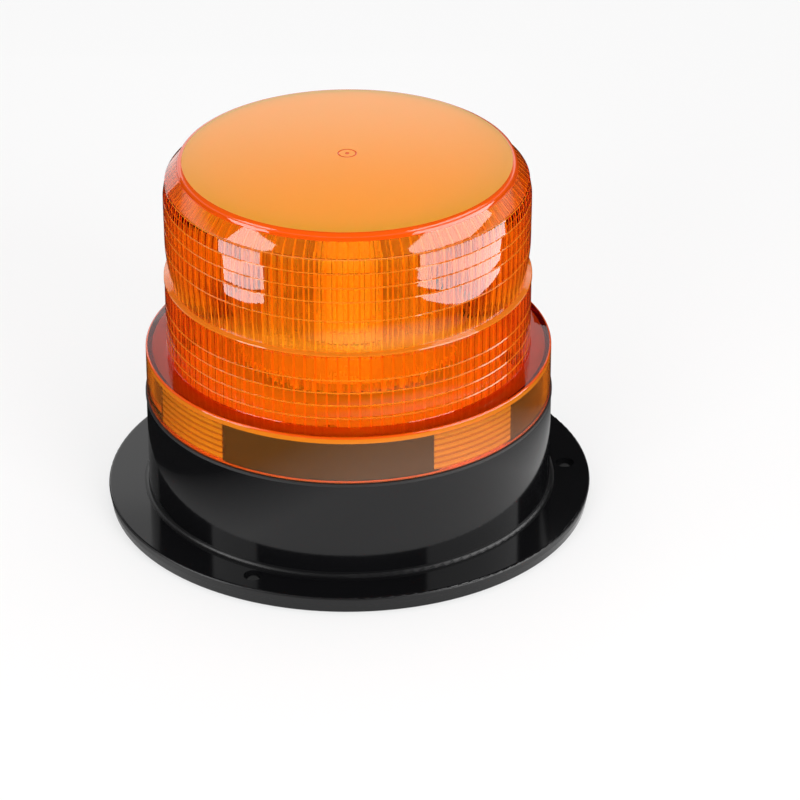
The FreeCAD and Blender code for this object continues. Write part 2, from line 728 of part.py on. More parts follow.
def lamp_spindle():
    """The hollow brass spindle, its nut under the tray, and the washer and clip of the turntable."""
    body = new_body("lamp_spindle")
    tail = f"({TRAY_BOTTOM} - spindle_tail)"
    turned(body, [
        ("spindle_bore_radius", tail),
        ("spindle_radius", tail),
        ("spindle_radius", "tray_top"),
        ("spindle_flange_radius", "tray_top"),
        ("spindle_flange_radius", FLANGE_TOP),
        ("spindle_radius", FLANGE_TOP),
        ("spindle_radius", CLIP_BOTTOM),
        ("spindle_neck_radius", CLIP_BOTTOM),
        ("spindle_neck_radius", LAMP_TUBE_BOTTOM),
        ("spindle_bore_radius", LAMP_TUBE_BOTTOM),
    ])
    nut = new_body("spindle_nut")
    flats = new_sketch(nut, "XY_Plane", f"{TRAY_BOTTOM} - nut_height")
    sides = 6
    half_side = HALF_TURN / sides
    corner = f"nut_size / 2 / cos({half_side}deg)"
    turns = [half_side * (2 * index + 1) for index in range(sides)]
    closed_outline(flats, [(f"{corner} * cos({turn}deg)", f"{corner} * sin({turn}deg)") for turn in turns])
    circle_outline(flats, "0", "0", "spindle_radius")
    padded(nut, flats, "nut_height")
    ring_body("thrust_washer", HUB_BORE, "spindle_flange_radius", FLANGE_TOP, HUB_BOTTOM)
    ring_body("turntable_clip", "spindle_neck_radius", "clip_radius", CLIP_BOTTOM, LAMP_BOTTOM)


def lamp():
    """The fixed lamp: a base, a square post with four strips of light chips, a frosted tube and a cap."""
    ring_body("lamp_base", "spindle_neck_radius", "lamp_base_radius", LAMP_BOTTOM, LAMP_TUBE_BOTTOM)
    post = new_body("lamp_post")
    section = new_sketch(post, "XY_Plane", LAMP_TUBE_BOTTOM)
    closed_outline(section, [("-post_width / 2", "-post_width / 2"), ("post_width / 2", "-post_width / 2"),
                             ("post_width / 2", "post_width / 2"), ("-post_width / 2", "post_width / 2")])
    circle_outline(section, "0", "0", "spindle_bore_radius")
    padded(post, section, "lamp_height")
    ring_body("lamp_tube", "lamp_radius - lamp_wall", "lamp_radius", LAMP_TUBE_BOTTOM, LAMP_TUBE_TOP)
    cap = new_body("lamp_cap")
    cap_top = f"({LAMP_TUBE_TOP} + lamp_cap_height)"
    turned(cap, [
        ("0", LAMP_TUBE_TOP),
        ("lamp_radius", LAMP_TUBE_TOP),
        ("lamp_radius", f"{cap_top} - lamp_wall", "lamp_wall"),
        ("lamp_radius - lamp_wall", cap_top),
        ("0", cap_top),
    ])

    board_bottom = value(f"{LAMP_TUBE_BOTTOM} + (lamp_height - led_board_length) / 2")
    length = value("led_board_length")
    thickness = value("led_board_thickness")
    face = value("post_width") / 2
    chip = value("led_width")
    count = round(value("leds_per_board"))
    post_sides = 4
    boards = []
    chips = []
    for side in range(post_sides):
        turn = side * FULL_TURN / post_sides
        board = Part.makeBox(thickness, value("led_board_width"), length,
                             FreeCAD.Vector(face, -value("led_board_width") / 2, board_bottom))
        board.rotate(FreeCAD.Vector(), FreeCAD.Vector(0, 0, 1), turn)
        boards.append(board)
        for index in range(count):
            middle = board_bottom + length * (index + 0.5) / count
            light = Part.makeBox(value("led_height"), chip, chip,
                                 FreeCAD.Vector(face + thickness, -chip / 2, middle - chip / 2))
            light.rotate(FreeCAD.Vector(), FreeCAD.Vector(0, 0, 1), turn)
            chips.append(light)
    group("led_boards", boards)
    group("led_chips", chips)


# Gears

def involute(angle):
    """The involute function of a pressure angle in radians."""
    return math.tan(angle) - angle


def gear(module, teeth, bottom, top, bore, first_tooth):
    """A spur gear about Z with involute flanks, its first tooth's middle at an angle in degrees."""
    pressure = math.radians(value("pressure_angle"))
    pitch = module * teeth / 2
    base = pitch * math.cos(pressure)
    tip = pitch + module * value("tooth_top")
    root = pitch - module * value("tooth_root")
    foot = max(root, base)
    pitch_half = (math.pi * module / 2 - value("backlash")) / (2 * pitch) + involute(pressure)

    def at(radius, offset, middle):
        return spot(radius, math.degrees(middle + offset))

    def half_angle(radius):
        return pitch_half - involute(math.acos(min(1.0, base / radius)))

    edges = []
    step = 2 * math.pi / teeth
    bend = (foot + tip) / 2
    for index in range(teeth):
        middle = math.radians(first_tooth) + step * index
        wide, mid, narrow = half_angle(foot), half_angle(bend), half_angle(tip)
        if foot > root:
            edges.append(Part.makeLine(at(root, -wide, middle), at(foot, -wide, middle)))
        for places in (((foot, -wide), (bend, -mid), (tip, -narrow)),
                       ((tip, -narrow), (tip, 0), (tip, narrow)),
                       ((tip, narrow), (bend, mid), (foot, wide))):
            arc = Part.Arc(*[at(radius, offset, middle) for radius, offset in places])
            edges.append(arc.toShape())
        if foot > root:
            edges.append(Part.makeLine(at(foot, wide, middle), at(root, wide, middle)))
        edges.append(Part.Arc(at(root, wide, middle), at(root, step / 2, middle),
                              at(root, step - wide, middle)).toShape())
    face = Part.Face(Part.Wire(edges))
    face.translate(FreeCAD.Vector(0, 0, bottom))
    return face.extrude(FreeCAD.Vector(0, 0, top - bottom)).cut(cylinder(bore, bottom, top))


def gear_train():
    """Turntable gear, compound idler on its axle, and motor pinion, all in mesh at rest."""
    toward_idler = value("idler_direction")
    toward_motor = value("motor_direction")
    table_bottom = value(TABLE_BOTTOM)
    table_top = value(DISC_BOTTOM)
    table = gear(value("table_module"), round(value("table_teeth")), table_bottom, table_top,
                 value("hub_radius") - value("bush_wall"), toward_idler)
    hub = cylinder(value("hub_radius"), value(HUB_BOTTOM), value(HUB_TOP))
    table = table.fuse(hub).cut(cylinder(value(BUSH_OUTSIDE), value(HUB_BOTTOM), value(HUB_TOP)))
    for place in mirror_screw_places():
        table = table.cut(cylinder(value("small_screw_radius"), table_bottom, table_top, place))
    turntable = doc.addObject("Part::Feature", "turntable_gear_shape")
    turntable.Shape = table.removeSplitter()
    keep("turntable_gear", turntable)
    ring_body("turntable_bush", HUB_BORE, BUSH_OUTSIDE, HUB_BOTTOM, HUB_TOP)

    idler_bore = value("idler_axle_radius + running_gap")
    idler_top = table_top - value("lens_gap")
    wheel = gear(value("motor_module"), round(value("wheel_teeth")), value(WHEEL_BOTTOM), value(WHEEL_TOP),
                 idler_bore, toward_motor)
    small_teeth = round(value("idler_teeth"))
    small = gear(value("table_module"), small_teeth, value(WHEEL_TOP), idler_top, idler_bore,
                 toward_idler + HALF_TURN + HALF_TURN / small_teeth)
    idler = doc.addObject("Part::Feature", "idler_gear_shape")
    idler.Shape = wheel.fuse(small).removeSplitter()
    idler.Placement.Base = FreeCAD.Vector(value(IDLER_X), value(IDLER_Y), 0)
    keep("idler_gear", idler)
    axle = keep("idler_axle", doc.addObject("Part::Cylinder", "idler_axle_pin"))
    axle.setExpression("Radius", bound("idler_axle_radius"))
    axle.setExpression("Height", bound(f"{DISC_BOTTOM} - lens_gap - {TRAY_BOTTOM}"))
    axle.setExpression(".Placement.Base.x", bound(IDLER_X))
    axle.setExpression(".Placement.Base.y", bound(IDLER_Y))
    axle.setExpression(".Placement.Base.z", bound(TRAY_BOTTOM))

    pinion_teeth = round(value("pinion_teeth"))
    pinion = doc.addObject("Part::Feature", "motor_pinion_shape")
    pinion.Shape = gear(value("motor_module"), pinion_teeth, value(WHEEL_BOTTOM), value(WHEEL_TOP),
                        value("motor_shaft_radius"),
                        toward_motor + HALF_TURN + HALF_TURN / pinion_teeth)
    pinion.Placement.Base = FreeCAD.Vector(value(MOTOR_X), value(MOTOR_Y), 0)
    keep("motor_pinion", pinion)


# Mirror

def mirror_screw_places():
    """Where the two screws hold the mirror's foot to the turntable."""
    spread = value("mirror_screw_spread")
    back = value("mirror_screw_back")
    return [FreeCAD.Vector(-spread, back, 0), FreeCAD.Vector(spread, back, 0)]


def mirror():
    """The bright disc on the turntable, the curved mirror behind the lamp, and its two screws."""
    disc = new_body("turntable_disc")
    plate = new_sketch(disc, "XY_Plane", DISC_BOTTOM)
    circle_outline(plate, "0", "0", "disc_radius")
    circle_outline(plate, "0", "0", "hub_radius + running_gap")
    for sign in ("-", ""):
        circle_outline(plate, sign + "mirror_screw_spread", "mirror_screw_back", SMALL_HOLE_RADIUS)
    padded(disc, plate, "disc_thickness")

    body = new_body("mirror")
    wall = new_sketch(body, "XY_Plane", DISC_TOP)
    sweep = "mirror_sweep"
    bend = f"((mirror_half_width * mirror_half_width + {sweep} * {sweep}) / (2 * {sweep}))"
    tips = f"mirror_focus - {sweep}"
    closed_outline(wall, [
        ("-mirror_half_width", tips, f"-{bend}"),
        ("mirror_half_width", tips),
        ("mirror_half_width", f"{tips} + mirror_thickness", bend),
        ("-mirror_half_width", f"{tips} + mirror_thickness"),
    ])
    padded(body, wall, "mirror_height")
    foot = new_sketch(body, "XY_Plane", DISC_TOP)
    side = "(mirror_screw_spread + small_head_radius * 2)"
    closed_outline(foot, [
        (f"-{side}", f"mirror_focus - {sweep} / 4"),
        (side, f"mirror_focus - {sweep} / 4"),
        (side, "mirror_foot_depth - small_head_radius"),
        (f"{side} - small_head_radius", "mirror_foot_depth"),
        (f"-{side} + small_head_radius", "mirror_foot_depth"),
        (f"-{side}", "mirror_foot_depth - small_head_radius"),
    ])
    padded(body, foot, "mirror_foot")
    for sign in ("-", ""):
        hole = new_sketch(body, "XY_Plane", DISC_TOP)
        circle_outline(hole, sign + "mirror_screw_spread", "mirror_screw_back", SMALL_HOLE_RADIUS)
        pocketed(body, hole, "mirror_foot")
    seat = value(f"{DISC_TOP} + mirror_foot")
    group("mirror_screws", [screw(place, seat, small=True) for place in mirror_screw_places()])


# Motor

def motor():
    """The small can motor that hangs under the tray, with its turning armature and shaft."""
    can = new_body("motor_can")
    inside = "(motor_radius - motor_shell)"
    bush_bottom = f"({TRAY_BOTTOM} + motor_bush_rise - motor_bush_length)"
    turned(can, [
        (inside, MOTOR_BOTTOM),
        ("motor_radius", MOTOR_BOTTOM),
        ("motor_radius", f"{TRAY_BOTTOM} - motor_shell", "motor_shell"),
        ("motor_radius - motor_shell", TRAY_BOTTOM),
        ("motor_bush_radius", TRAY_BOTTOM),
        ("motor_bush_radius", f"{TRAY_BOTTOM} - 2 * motor_shell"),
        (inside, f"{TRAY_BOTTOM} - 2 * motor_shell"),
    ])
    for sign in ("-", ""):
        hole = new_sketch(can, "XY_Plane", f"{TRAY_BOTTOM} - 2 * motor_shell", "motor_direction")
        circle_outline(hole, "0", sign + "motor_screw_spread", "small_screw_radius")
        pocketed(can, hole, "2 * motor_shell")
    shaft_hole = "(motor_shaft_radius + running_gap)"
    bush = ring_body("motor_bush", shaft_hole, "motor_bush_radius", bush_bottom,
                     f"{TRAY_BOTTOM} + motor_bush_rise")
    cap_top = f"({MOTOR_BOTTOM} + motor_cap_thickness)"
    end_cap = ring_body("motor_end_cap", shaft_hole, inside, MOTOR_BOTTOM, cap_top)
    shaft = new_body("motor_shaft")
    turned(shaft, [
        ("0", f"{MOTOR_BOTTOM} - motor_tail"),
        ("motor_shaft_radius", f"{MOTOR_BOTTOM} - motor_tail"),
        ("motor_shaft_radius", WHEEL_TOP),
        ("0", WHEEL_TOP),
    ])
    commutator_bottom = f"({cap_top} + air_gap)"
    core_bottom = f"({commutator_bottom} + commutator_length)"
    core_top = f"({core_bottom} + armature_length)"
    commutator = ring_body("commutator", "motor_shaft_radius", "commutator_radius",
                           commutator_bottom, core_bottom)
    core = ring_body("armature", "motor_shaft_radius", "armature_radius", core_bottom, core_top)
    magnets = []
    for start in (0, HALF_TURN):
        arc = Part.makeCylinder(value(inside), value(f"{core_top} - {core_bottom}"),
                                FreeCAD.Vector(0, 0, value(core_bottom)), FreeCAD.Vector(0, 0, 1),
                                value("magnet_angle"))
        arc = arc.cut(cylinder(value("armature_radius + air_gap"), value(core_bottom), value(core_top)))
        arc.rotate(FreeCAD.Vector(), FreeCAD.Vector(0, 0, 1), start)
        magnets.append(arc)
    group("motor_magnets", magnets).Placement.Base = FreeCAD.Vector(value(MOTOR_X), value(MOTOR_Y), 0)
    for piece in (can, bush, end_cap, shaft, commutator, core):
        move_to(piece, MOTOR_X, MOTOR_Y)

    middle = FreeCAD.Vector(value(MOTOR_X), value(MOTOR_Y), 0)
    tabs = []
    for side in (-1, 1):
        offset = side * value("tab_spread")
        corner = middle + FreeCAD.Vector(offset - value("tab_width") / 2, -value("tab_thickness") / 2,
                                         value(MOTOR_BOTTOM) - value("tab_length"))
        tabs.append(Part.makeBox(value("tab_width"), value("tab_thickness"), value("tab_length"), corner))
    group("motor_tabs", tabs)
    seat = value("tray_top - small_head_height - screw_clearance")
    spread = value("motor_screw_spread")
    turn = value("motor_direction")
    places = [middle + spot(spread, turn + 90), middle + spot(spread, turn - 90)]
    group("motor_screws", [screw(place, seat, small=True) for place in places])


# Lens

def lens():
    """The amber moulding: crowned top, ringed dome, ledge and skirt, with two lugs inside the skirt."""
    body = new_body("lens")
    low_ring = f"({LEDGE_HEIGHT} + foot_band)"
    lip_bottom = f"({low_ring} + (lower_rings - 1) * lower_ring_pitch + lip_band)"
    lip_top = f"({lip_bottom} + lip_thickness)"
    waist_top = f"({lip_top} + waist_band)"
    upper_ring = f"({waist_top} + tall_ring)"
    shoulder = f"({upper_ring} + upper_rings * upper_ring_pitch)"
    crown_edge = f"({shoulder} + shoulder_round)"
    upper_radius = f"({DOME_RADIUS} - upper_inset)"
    crown_radius = f"({upper_radius} - shoulder_round)"
    crown_bend = f"(({crown_radius} * {crown_radius} + crown_rise * crown_rise) / (2 * crown_rise))"
    inner_round = "(shoulder_round - crown_wall)"
    ceiling = f"({crown_edge} - crown_wall)"
    corners = [
        (SKIRT_INSIDE, SKIRT_BOTTOM),
        (SKIRT_RADIUS, SKIRT_BOTTOM),
        (SKIRT_RADIUS, f"{LEDGE_HEIGHT} - rim_round", "rim_round"),
        (f"{SKIRT_RADIUS} - rim_round", LEDGE_HEIGHT),
        (DOME_RADIUS, LEDGE_HEIGHT, "ring_bulge_radius"),
    ]
    for index in range(round(value("lower_rings"))):
        corners.append((DOME_RADIUS, f"{low_ring} + {index} * lower_ring_pitch", "ring_bulge_radius"))
    corners += [
        (f"{DOME_RADIUS} + lip_height", lip_bottom),
        (f"{DOME_RADIUS} + lip_height", lip_top),
        (f"{DOME_RADIUS} - waist_depth", f"{lip_top} + lip_thickness"),
        (DOME_RADIUS, f"{waist_top} - lip_thickness"),
    ]
    corners.append((upper_radius, waist_top, "ring_bulge_radius"))
    for index in range(round(value("upper_rings"))):
        corners.append((upper_radius, f"{upper_ring} + {index} * upper_ring_pitch", "ring_bulge_radius"))
    corners += [
        (upper_radius, shoulder, "shoulder_round"),
        (crown_radius, crown_edge, crown_bend),
        ("0", f"{crown_edge} + crown_rise"),
        ("0", f"{ceiling} + crown_rise - frosted_disc_depth"),
        ("frosted_disc_radius", f"{ceiling} - frosted_disc_depth"),
        ("frosted_disc_radius", ceiling),
        (f"{DOME_INSIDE} - {inner_round}", ceiling, f"-{inner_round}"),
        (DOME_INSIDE, f"{ceiling} - {inner_round}"),
        (DOME_INSIDE, f"{LEDGE_HEIGHT} - ledge_wall"),
        (SKIRT_INSIDE, f"{LEDGE_HEIGHT} - ledge_wall"),
    ]
    turned(body, corners)
    lug = swept_about(body, "Revolution", [
        (f"{SKIRT_INSIDE} - lug_reach", f"{WINDOW_SILL} + lug_clearance"),
        (f"{SKIRT_INSIDE} + skirt_wall / 2", f"{WINDOW_SILL} + lug_clearance"),
        (f"{SKIRT_INSIDE} + skirt_wall / 2", f"{WINDOW_SILL} + lug_clearance + lug_height"),
        (f"{SKIRT_INSIDE} - lug_reach", f"{WINDOW_SILL} + lug_clearance + lug_height"),
    ], "window_turn - lug_turn_back", "lug_angle")
    repeated(body, [lug], "lug_count")
    ring_body("lens_seal", COLLAR_OUTSIDE, f"{WALL_RADIUS} + skirt_inset", WALL_TOP,
              f"{WALL_TOP} + lens_seal_thickness")


def checked():
    """Stop if a feature failed or a sub-part is empty, broken or stray."""
    doc.recompute()
    for thing in doc.Objects:
        if "Invalid" in thing.State or "Error" in thing.State:
            raise RuntimeError(f"{thing.Name} ({thing.Label}) failed: {thing.State}")
    for name, thing in NODES.items():
        shape = thing.Shape
        if shape.isNull() or not shape.isValid() or not shape.Solids:
            raise RuntimeError(f"{name} has no valid solid")


flanged_housing()
cover_and_cable_entry()
circuit_board()
tray()
lamp_spindle()
lamp()
gear_train()
mirror()
motor()
lens()
checked()

os.makedirs("parts", exist_ok=True)
for name, thing in NODES.items():
    thing.Shape.exportStep(f"parts/{name}.step")
    print(f"{name}: {len(thing.Shape.Solids)} solid(s), {thing.Shape.Volume:.1f} mm3")
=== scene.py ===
"""The look of an amber rotating beacon, dressed around its packed mechanical model.

Lengths are metres in the model's own frame: the origin at the centre of the flange's underside,
+Z up through the lens and -Y towards the viewer. An angle is measured anticlockwise from +X, seen
from above.
"""
from __future__ import annotations

import json
import logging
import math
from dataclasses import dataclass
from enum import Enum

import bpy
from mathutils import Matrix, Vector

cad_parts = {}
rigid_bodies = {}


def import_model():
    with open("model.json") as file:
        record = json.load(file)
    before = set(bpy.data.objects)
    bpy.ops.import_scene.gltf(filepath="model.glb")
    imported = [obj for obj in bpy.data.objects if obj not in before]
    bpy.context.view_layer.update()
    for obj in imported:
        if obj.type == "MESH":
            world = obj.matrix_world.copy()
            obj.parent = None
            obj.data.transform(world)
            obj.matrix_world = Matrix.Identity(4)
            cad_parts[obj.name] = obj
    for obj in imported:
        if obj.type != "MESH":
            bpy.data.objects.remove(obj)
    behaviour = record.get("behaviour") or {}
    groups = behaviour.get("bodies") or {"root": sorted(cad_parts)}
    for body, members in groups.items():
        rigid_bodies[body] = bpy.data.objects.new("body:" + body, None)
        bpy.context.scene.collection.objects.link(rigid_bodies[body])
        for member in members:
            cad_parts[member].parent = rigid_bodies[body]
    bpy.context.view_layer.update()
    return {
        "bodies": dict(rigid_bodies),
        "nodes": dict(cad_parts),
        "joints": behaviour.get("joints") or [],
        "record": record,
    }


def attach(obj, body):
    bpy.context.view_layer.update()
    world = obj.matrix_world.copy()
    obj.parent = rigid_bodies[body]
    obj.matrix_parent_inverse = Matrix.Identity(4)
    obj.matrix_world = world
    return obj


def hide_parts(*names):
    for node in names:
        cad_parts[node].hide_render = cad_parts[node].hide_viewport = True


LOG = logging.getLogger("beacon")
MM = 0.001
WHITE = (1.0, 1.0, 1.0, 1.0)
Colour = tuple[float, float, float]
Place = tuple[float, float, float]
Point = tuple[float, float]
Socket = bpy.types.NodeSocket


class Graph:
    """Adds nodes to one shader or geometry tree and links them."""

    def __init__(self, tree: bpy.types.NodeTree) -> None:
        """Start on an empty tree.

        Args:
            tree: The tree that takes the nodes.
        """
        self.tree = tree
        tree.nodes.clear()

    def node(self, kind: str, inputs: dict | None = None, **settings: object) -> bpy.types.Node:
        """Add one node.

        Args:
            kind: The node's type, such as "ShaderNodeMath".
            inputs: Values or sockets for its inputs, by name or number.
            **settings: Attributes of the node itself.

        Returns:
            The new node.
        """
        node = self.tree.nodes.new(kind)
        for name, setting in settings.items():
            setattr(node, name, setting)
        for key, given in (inputs or {}).items():
            if isinstance(given, bpy.types.NodeSocket):
                self.tree.links.new(given, node.inputs[key])
            else:
                node.inputs[key].default_value = given
        return node

    def math(self, operation: str, *values: float | Socket) -> Socket:
        """Work out one number.

        Args:
            operation: The Math node's operation.
            *values: Its operands, numbers or sockets.

        Returns:
            The result's socket.
        """
        return self.node("ShaderNodeMath", dict(enumerate(values)), operation=operation).outputs[0]

    def vector(self, operation: str, first: Socket, second: Place | None = None) -> bpy.types.Node:
        """Work with one or two vectors.

        Args:
            operation: The Vector Math node's operation.
            first: The first vector's socket.
            second: The second vector, where the operation takes one.

        Returns:
            The node, whose outputs are a vector and a number.
        """
        inputs = {0: first} if second is None else {0: first, 1: second}
        return self.node("ShaderNodeVectorMath", inputs, operation=operation)

    def noise(self, place: Socket, size: float, detail: float = 3.0) -> Socket:
        """Make soft noise.

        Args:
            place: The point that it is read at.
            size: The size of its blobs in metres.
            detail: How many finer octaves it has.

        Returns:
            A value from 0 to 1.
        """
        inputs = {"Vector": place, "Scale": 1 / size, "Detail": detail}
        return self.node("ShaderNodeTexNoise", inputs).outputs[0]

    def spread(self, value: Socket, low: float, high: float,
               start: float = 0.0, end: float = 1.0) -> Socket:
        """Stretch a value over a range, and keep it inside that range.

        Args:
            value: The value's socket.
            low: What the start becomes.
            high: What the end becomes.
            start: The value where the range starts.
            end: The value where the range ends.

        Returns:
            The stretched value's socket.
        """
        inputs = {0: value, 1: start, 2: end, 3: low, 4: high}
        return self.node("ShaderNodeMapRange", inputs).outputs[0]

    def blend(self, factor: float | Socket, first: object, second: object) -> Socket:
        """Mix two colours.

        Args:
            factor: The share of the second one.
            first: A colour or its socket.
            second: A colour or its socket.

        Returns:
            The mixed colour's socket.
        """
        inputs = {0: factor, 6: first, 7: second}
        return self.node("ShaderNodeMix", inputs, data_type="RGBA").outputs[2]


def rgba(colour: Colour, share: float = 1.0) -> tuple[float, float, float, float]:
    """Give a colour its fourth number, with its brightness multiplied by a share."""
    return (colour[0] * share, colour[1] * share, colour[2] * share, 1.0)


class Texture(Enum):
    """What breaks up a finish's gloss."""

    MOULDED = "moulded"
    TURNED = "turned"
    DRAWN = "drawn"
    POLISHED = "polished"
    PRINTED = "printed"


# How far a texture is drawn out along each axis, as the share of its scale that is left.
STRETCHES: dict[Texture, Place] = {
    Texture.TURNED: (0.02, 0.02, 1.0),
    Texture.DRAWN: (1.0, 1.0, 0.02),
}
# The width of a finish's uneven clouds in grains, and the shares of its colour and of its
# roughness at their two ends.
CLOUD_GRAINS = 30
CLOUD_COLOURS = (0.9, 1.08)
CLOUD_GLOSS = (0.8, 1.25)
# The height above which a printed board's tracks start, and the share of its colour there.
TRACK_LEVEL = 0.62
TRACK_COLOUR = 1.9
# The share of light that spreads under a milky surface.
MILKY_SHARE = 0.5
# How many finer octaves a moulded grain has.
GRAIN_DETAIL = 5.0


@dataclass(frozen=True)
class Finish:
    """A surface that lets no light through.

    Attributes:
        name: The material's name.
        colour: Its colour.
        roughness: Its mean roughness.
        texture: What breaks up its gloss.
        metal: 1 for bare metal, less for a thin metallic coat, and 0 for anything else.
        grain: The size of that texture in metres.
        relief: The height of the texture's bumps in metres.
        milky: How far light spreads under the surface in metres, or 0.
        bend: The index of refraction of its clear skin.
    """

    name: str
    colour: Colour
    roughness: float
    texture: Texture = Texture.MOULDED
    metal: float = 0.0
    grain: float = 0.6 * MM
    relief: float = 0.004 * MM
    milky: float = 0.0
    bend: float = 1.5

    def material(self) -> bpy.types.Material:
        """Build the material.

        Returns:
            The material, with its node tree.
        """
        material = bpy.data.materials.new(self.name)
        material.use_nodes = True
        graph = Graph(material.node_tree)
        place = graph.node("ShaderNodeTexCoord").outputs["Object"]
        height = self.height(graph, place)
        cloud = graph.noise(place, CLOUD_GRAINS * self.grain)
        colour = graph.blend(cloud, *(rgba(self.colour, share) for share in CLOUD_COLOURS))
        if self.texture is Texture.PRINTED:
            track = graph.math("GREATER_THAN", height, TRACK_LEVEL)
            colour = graph.blend(track, colour, rgba(self.colour, TRACK_COLOUR))
        roughness = self.gloss(graph, place, cloud)
        bump = graph.node("ShaderNodeBump", {"Height": height, "Distance": self.relief})
        shader = graph.node("ShaderNodeBsdfPrincipled", {
            "Base Color": colour, "Roughness": roughness, "Normal": bump.outputs[0],
            "Metallic": self.metal, "Subsurface Weight": MILKY_SHARE if self.milky else 0.0,
            "Subsurface Scale": max(self.milky, MM), "IOR": self.bend,
        })
        graph.node("ShaderNodeOutputMaterial", {"Surface": shader.outputs[0]})
        return material

    def gloss(self, graph: Graph, place: Socket, cloud: Socket) -> Socket:
        """Make the roughness, a little uneven all over.

        Args:
            graph: The material's nodes.
            place: The point on the piece; not used here.
            cloud: Soft noise from 0 to 1.

        Returns:
            The roughness.
        """
        return graph.spread(cloud, *(self.roughness * share for share in CLOUD_GLOSS))

    def height(self, graph: Graph, place: Socket) -> Socket:
        """Make the relief that the texture has.

        Args:
            graph: The material's nodes.
            place: The point on the piece.

        Returns:
            The height, from 0 to 1.
        """
        if self.texture in STRETCHES:
            inputs = {0: place, 3: STRETCHES[self.texture]}
            return graph.noise(graph.node("ShaderNodeMapping", inputs).outputs[0], self.grain)
        if self.texture is Texture.PRINTED:
            cells = graph.node("ShaderNodeTexVoronoi", {"Vector": place, "Scale": 1 / self.grain},
                               distance="CHEBYCHEV", voronoi_dimensions="2D")
            return cells.outputs["Distance"]
        return graph.noise(place, self.grain, GRAIN_DETAIL)


@dataclass(frozen=True)
class HousingFinish(Finish):
    """The housing's glossy plastic, with a satin edge on the flange and a satin foot on the wall.

    Attributes:
        edge_radius: Where the satin edge starts, in metres from the axis.
        foot_radius: Where the satin foot of the wall ends, in metres from the axis.
        foot_height: How high that foot reaches.
        satin: The roughness of both.
    """

    bend: float = 1.42
    edge_radius: float = 67.2 * MM
    foot_radius: float = 57.5 * MM
    foot_height: float = 6.2 * MM
    satin: float = 0.4

    def gloss(self, graph: Graph, place: Socket, cloud: Socket) -> Socket:
        """Make the roughness, higher on the flange's outer edge and at the wall's foot.

        Args:
            graph: The material's nodes.
            place: The point on the piece.
            cloud: Soft noise from 0 to 1.

        Returns:
            The roughness.
        """
        across = graph.vector("MULTIPLY", place, (1.0, 1.0, 0.0)).outputs[0]
        radius = graph.vector("LENGTH", across).outputs[1]
        height = graph.node("ShaderNodeSeparateXYZ", {0: place}).outputs[2]
        on_edge = graph.math("GREATER_THAN", radius, self.edge_radius)
        near_wall = graph.math("LESS_THAN", radius, self.foot_radius)
        near_flange = graph.math("LESS_THAN", height, self.foot_height)
        on_foot = graph.math("MULTIPLY", near_wall, near_flange)
        on_satin = graph.math("MAXIMUM", on_edge, on_foot)
        glossy = super().gloss(graph, place, cloud)
        return graph.node("ShaderNodeMix", {0: on_satin, 2: glossy, 3: self.satin}).outputs[0]


class Skin(Enum):
    """The finishes on the lens, by number, several of which paint light or shade into the amber."""

    CLEAR = 0
    FROSTED = 1
    MISTED = 2
    # Grained, with painted shade.
    GRAINED_PAINTED_SHADE = 3
    SATIN = 4
    # Painted highlight lines.
    LINE = 5
    # Painted deep orange glow.
    DEEP_PAINTED_GLOW = 6
    HAZY = 7
    # Painted glints on the flute cusps.
    RIDGE_PAINTED_GLINT = 8
    # Painted window glow on the rib crests.
    PANE_PAINTED_GLOW = 9


@dataclass(frozen=True)
class Amber:
    """Clear or frosted amber polycarbonate, which tints light by the depth that it goes through.

    Attributes:
        name: The material's name.
        roughness: 0 where it is polished.
        clear: The share of light that isn't scattered at the surface.
        scatter: The colour of what is scattered.
        kept: The share of red, green and blue that a dome wall lets through.
        wall: The thickness of that wall in metres.
        bend: The index of refraction.
        ripple_size: The size of the surface's soft ripples in metres.
        ripple_height: Their height in metres.
        ripple_gloss: How much they add to the roughness.
        headroom: How far the density exceeds the strongest tint, so that no colour is black.
    """

    name: str
    roughness: float
    clear: float
    scatter: Colour = (1.0, 0.92, 0.8)
    kept: Colour = (0.98, 0.46, 0.035)
    wall: float = 2.3 * MM
    bend: float = 1.58
    ripple_size: float = 4 * MM
    ripple_height: float = 0.01 * MM
    ripple_gloss: float = 0.03
    headroom: float = 1.04

    def material(self) -> bpy.types.Material:
        """Build the material.

        Returns:
            The material, with its node tree.
        """
        material = bpy.data.materials.new(self.name)
        material.use_nodes = True
        graph = Graph(material.node_tree)
        place = graph.node("ShaderNodeTexCoord").outputs["Object"]
        ripple = graph.noise(place, self.ripple_size)
        bump = graph.node("ShaderNodeBump", {"Height": ripple, "Distance": self.ripple_height})
        roughness = graph.spread(ripple, self.roughness, self.roughness + self.ripple_gloss)
        shader = graph.node("ShaderNodeBsdfPrincipled", {
            "Base Color": rgba(self.scatter), "Roughness": roughness, "Normal": bump.outputs[0],
            "IOR": self.bend, "Transmission Weight": self.clear,
        })
        lets_through = graph.node("ShaderNodeBsdfTransparent", {"Color": WHITE})
        is_shadow = graph.node("ShaderNodeLightPath").outputs["Is Shadow Ray"]
        surface = graph.node("ShaderNodeMixShader", {
            0: is_shadow, 1: shader.outputs[0], 2: lets_through.outputs[0]})
        output = graph.node("ShaderNodeOutputMaterial", {"Surface": surface.outputs[0]})
        if self.clear > 0:
            graph.tree.links.new(self.volume(graph), output.inputs["Volume"])
        return material

    def volume(self, graph: Graph) -> Socket:
        """Make the tint that grows with the depth of the plastic.

        Args:
            graph: The material's nodes.

        Returns:
            The volume's socket.
        """
        taken = [-math.log(share) / self.wall for share in self.kept]
        density = max(taken) * self.headroom
        tint = tuple(1 - lost / density for lost in taken)
        inputs = {"Color": rgba(tint), "Density": density}
        return graph.node("ShaderNodeVolumeAbsorption", inputs).outputs[0]


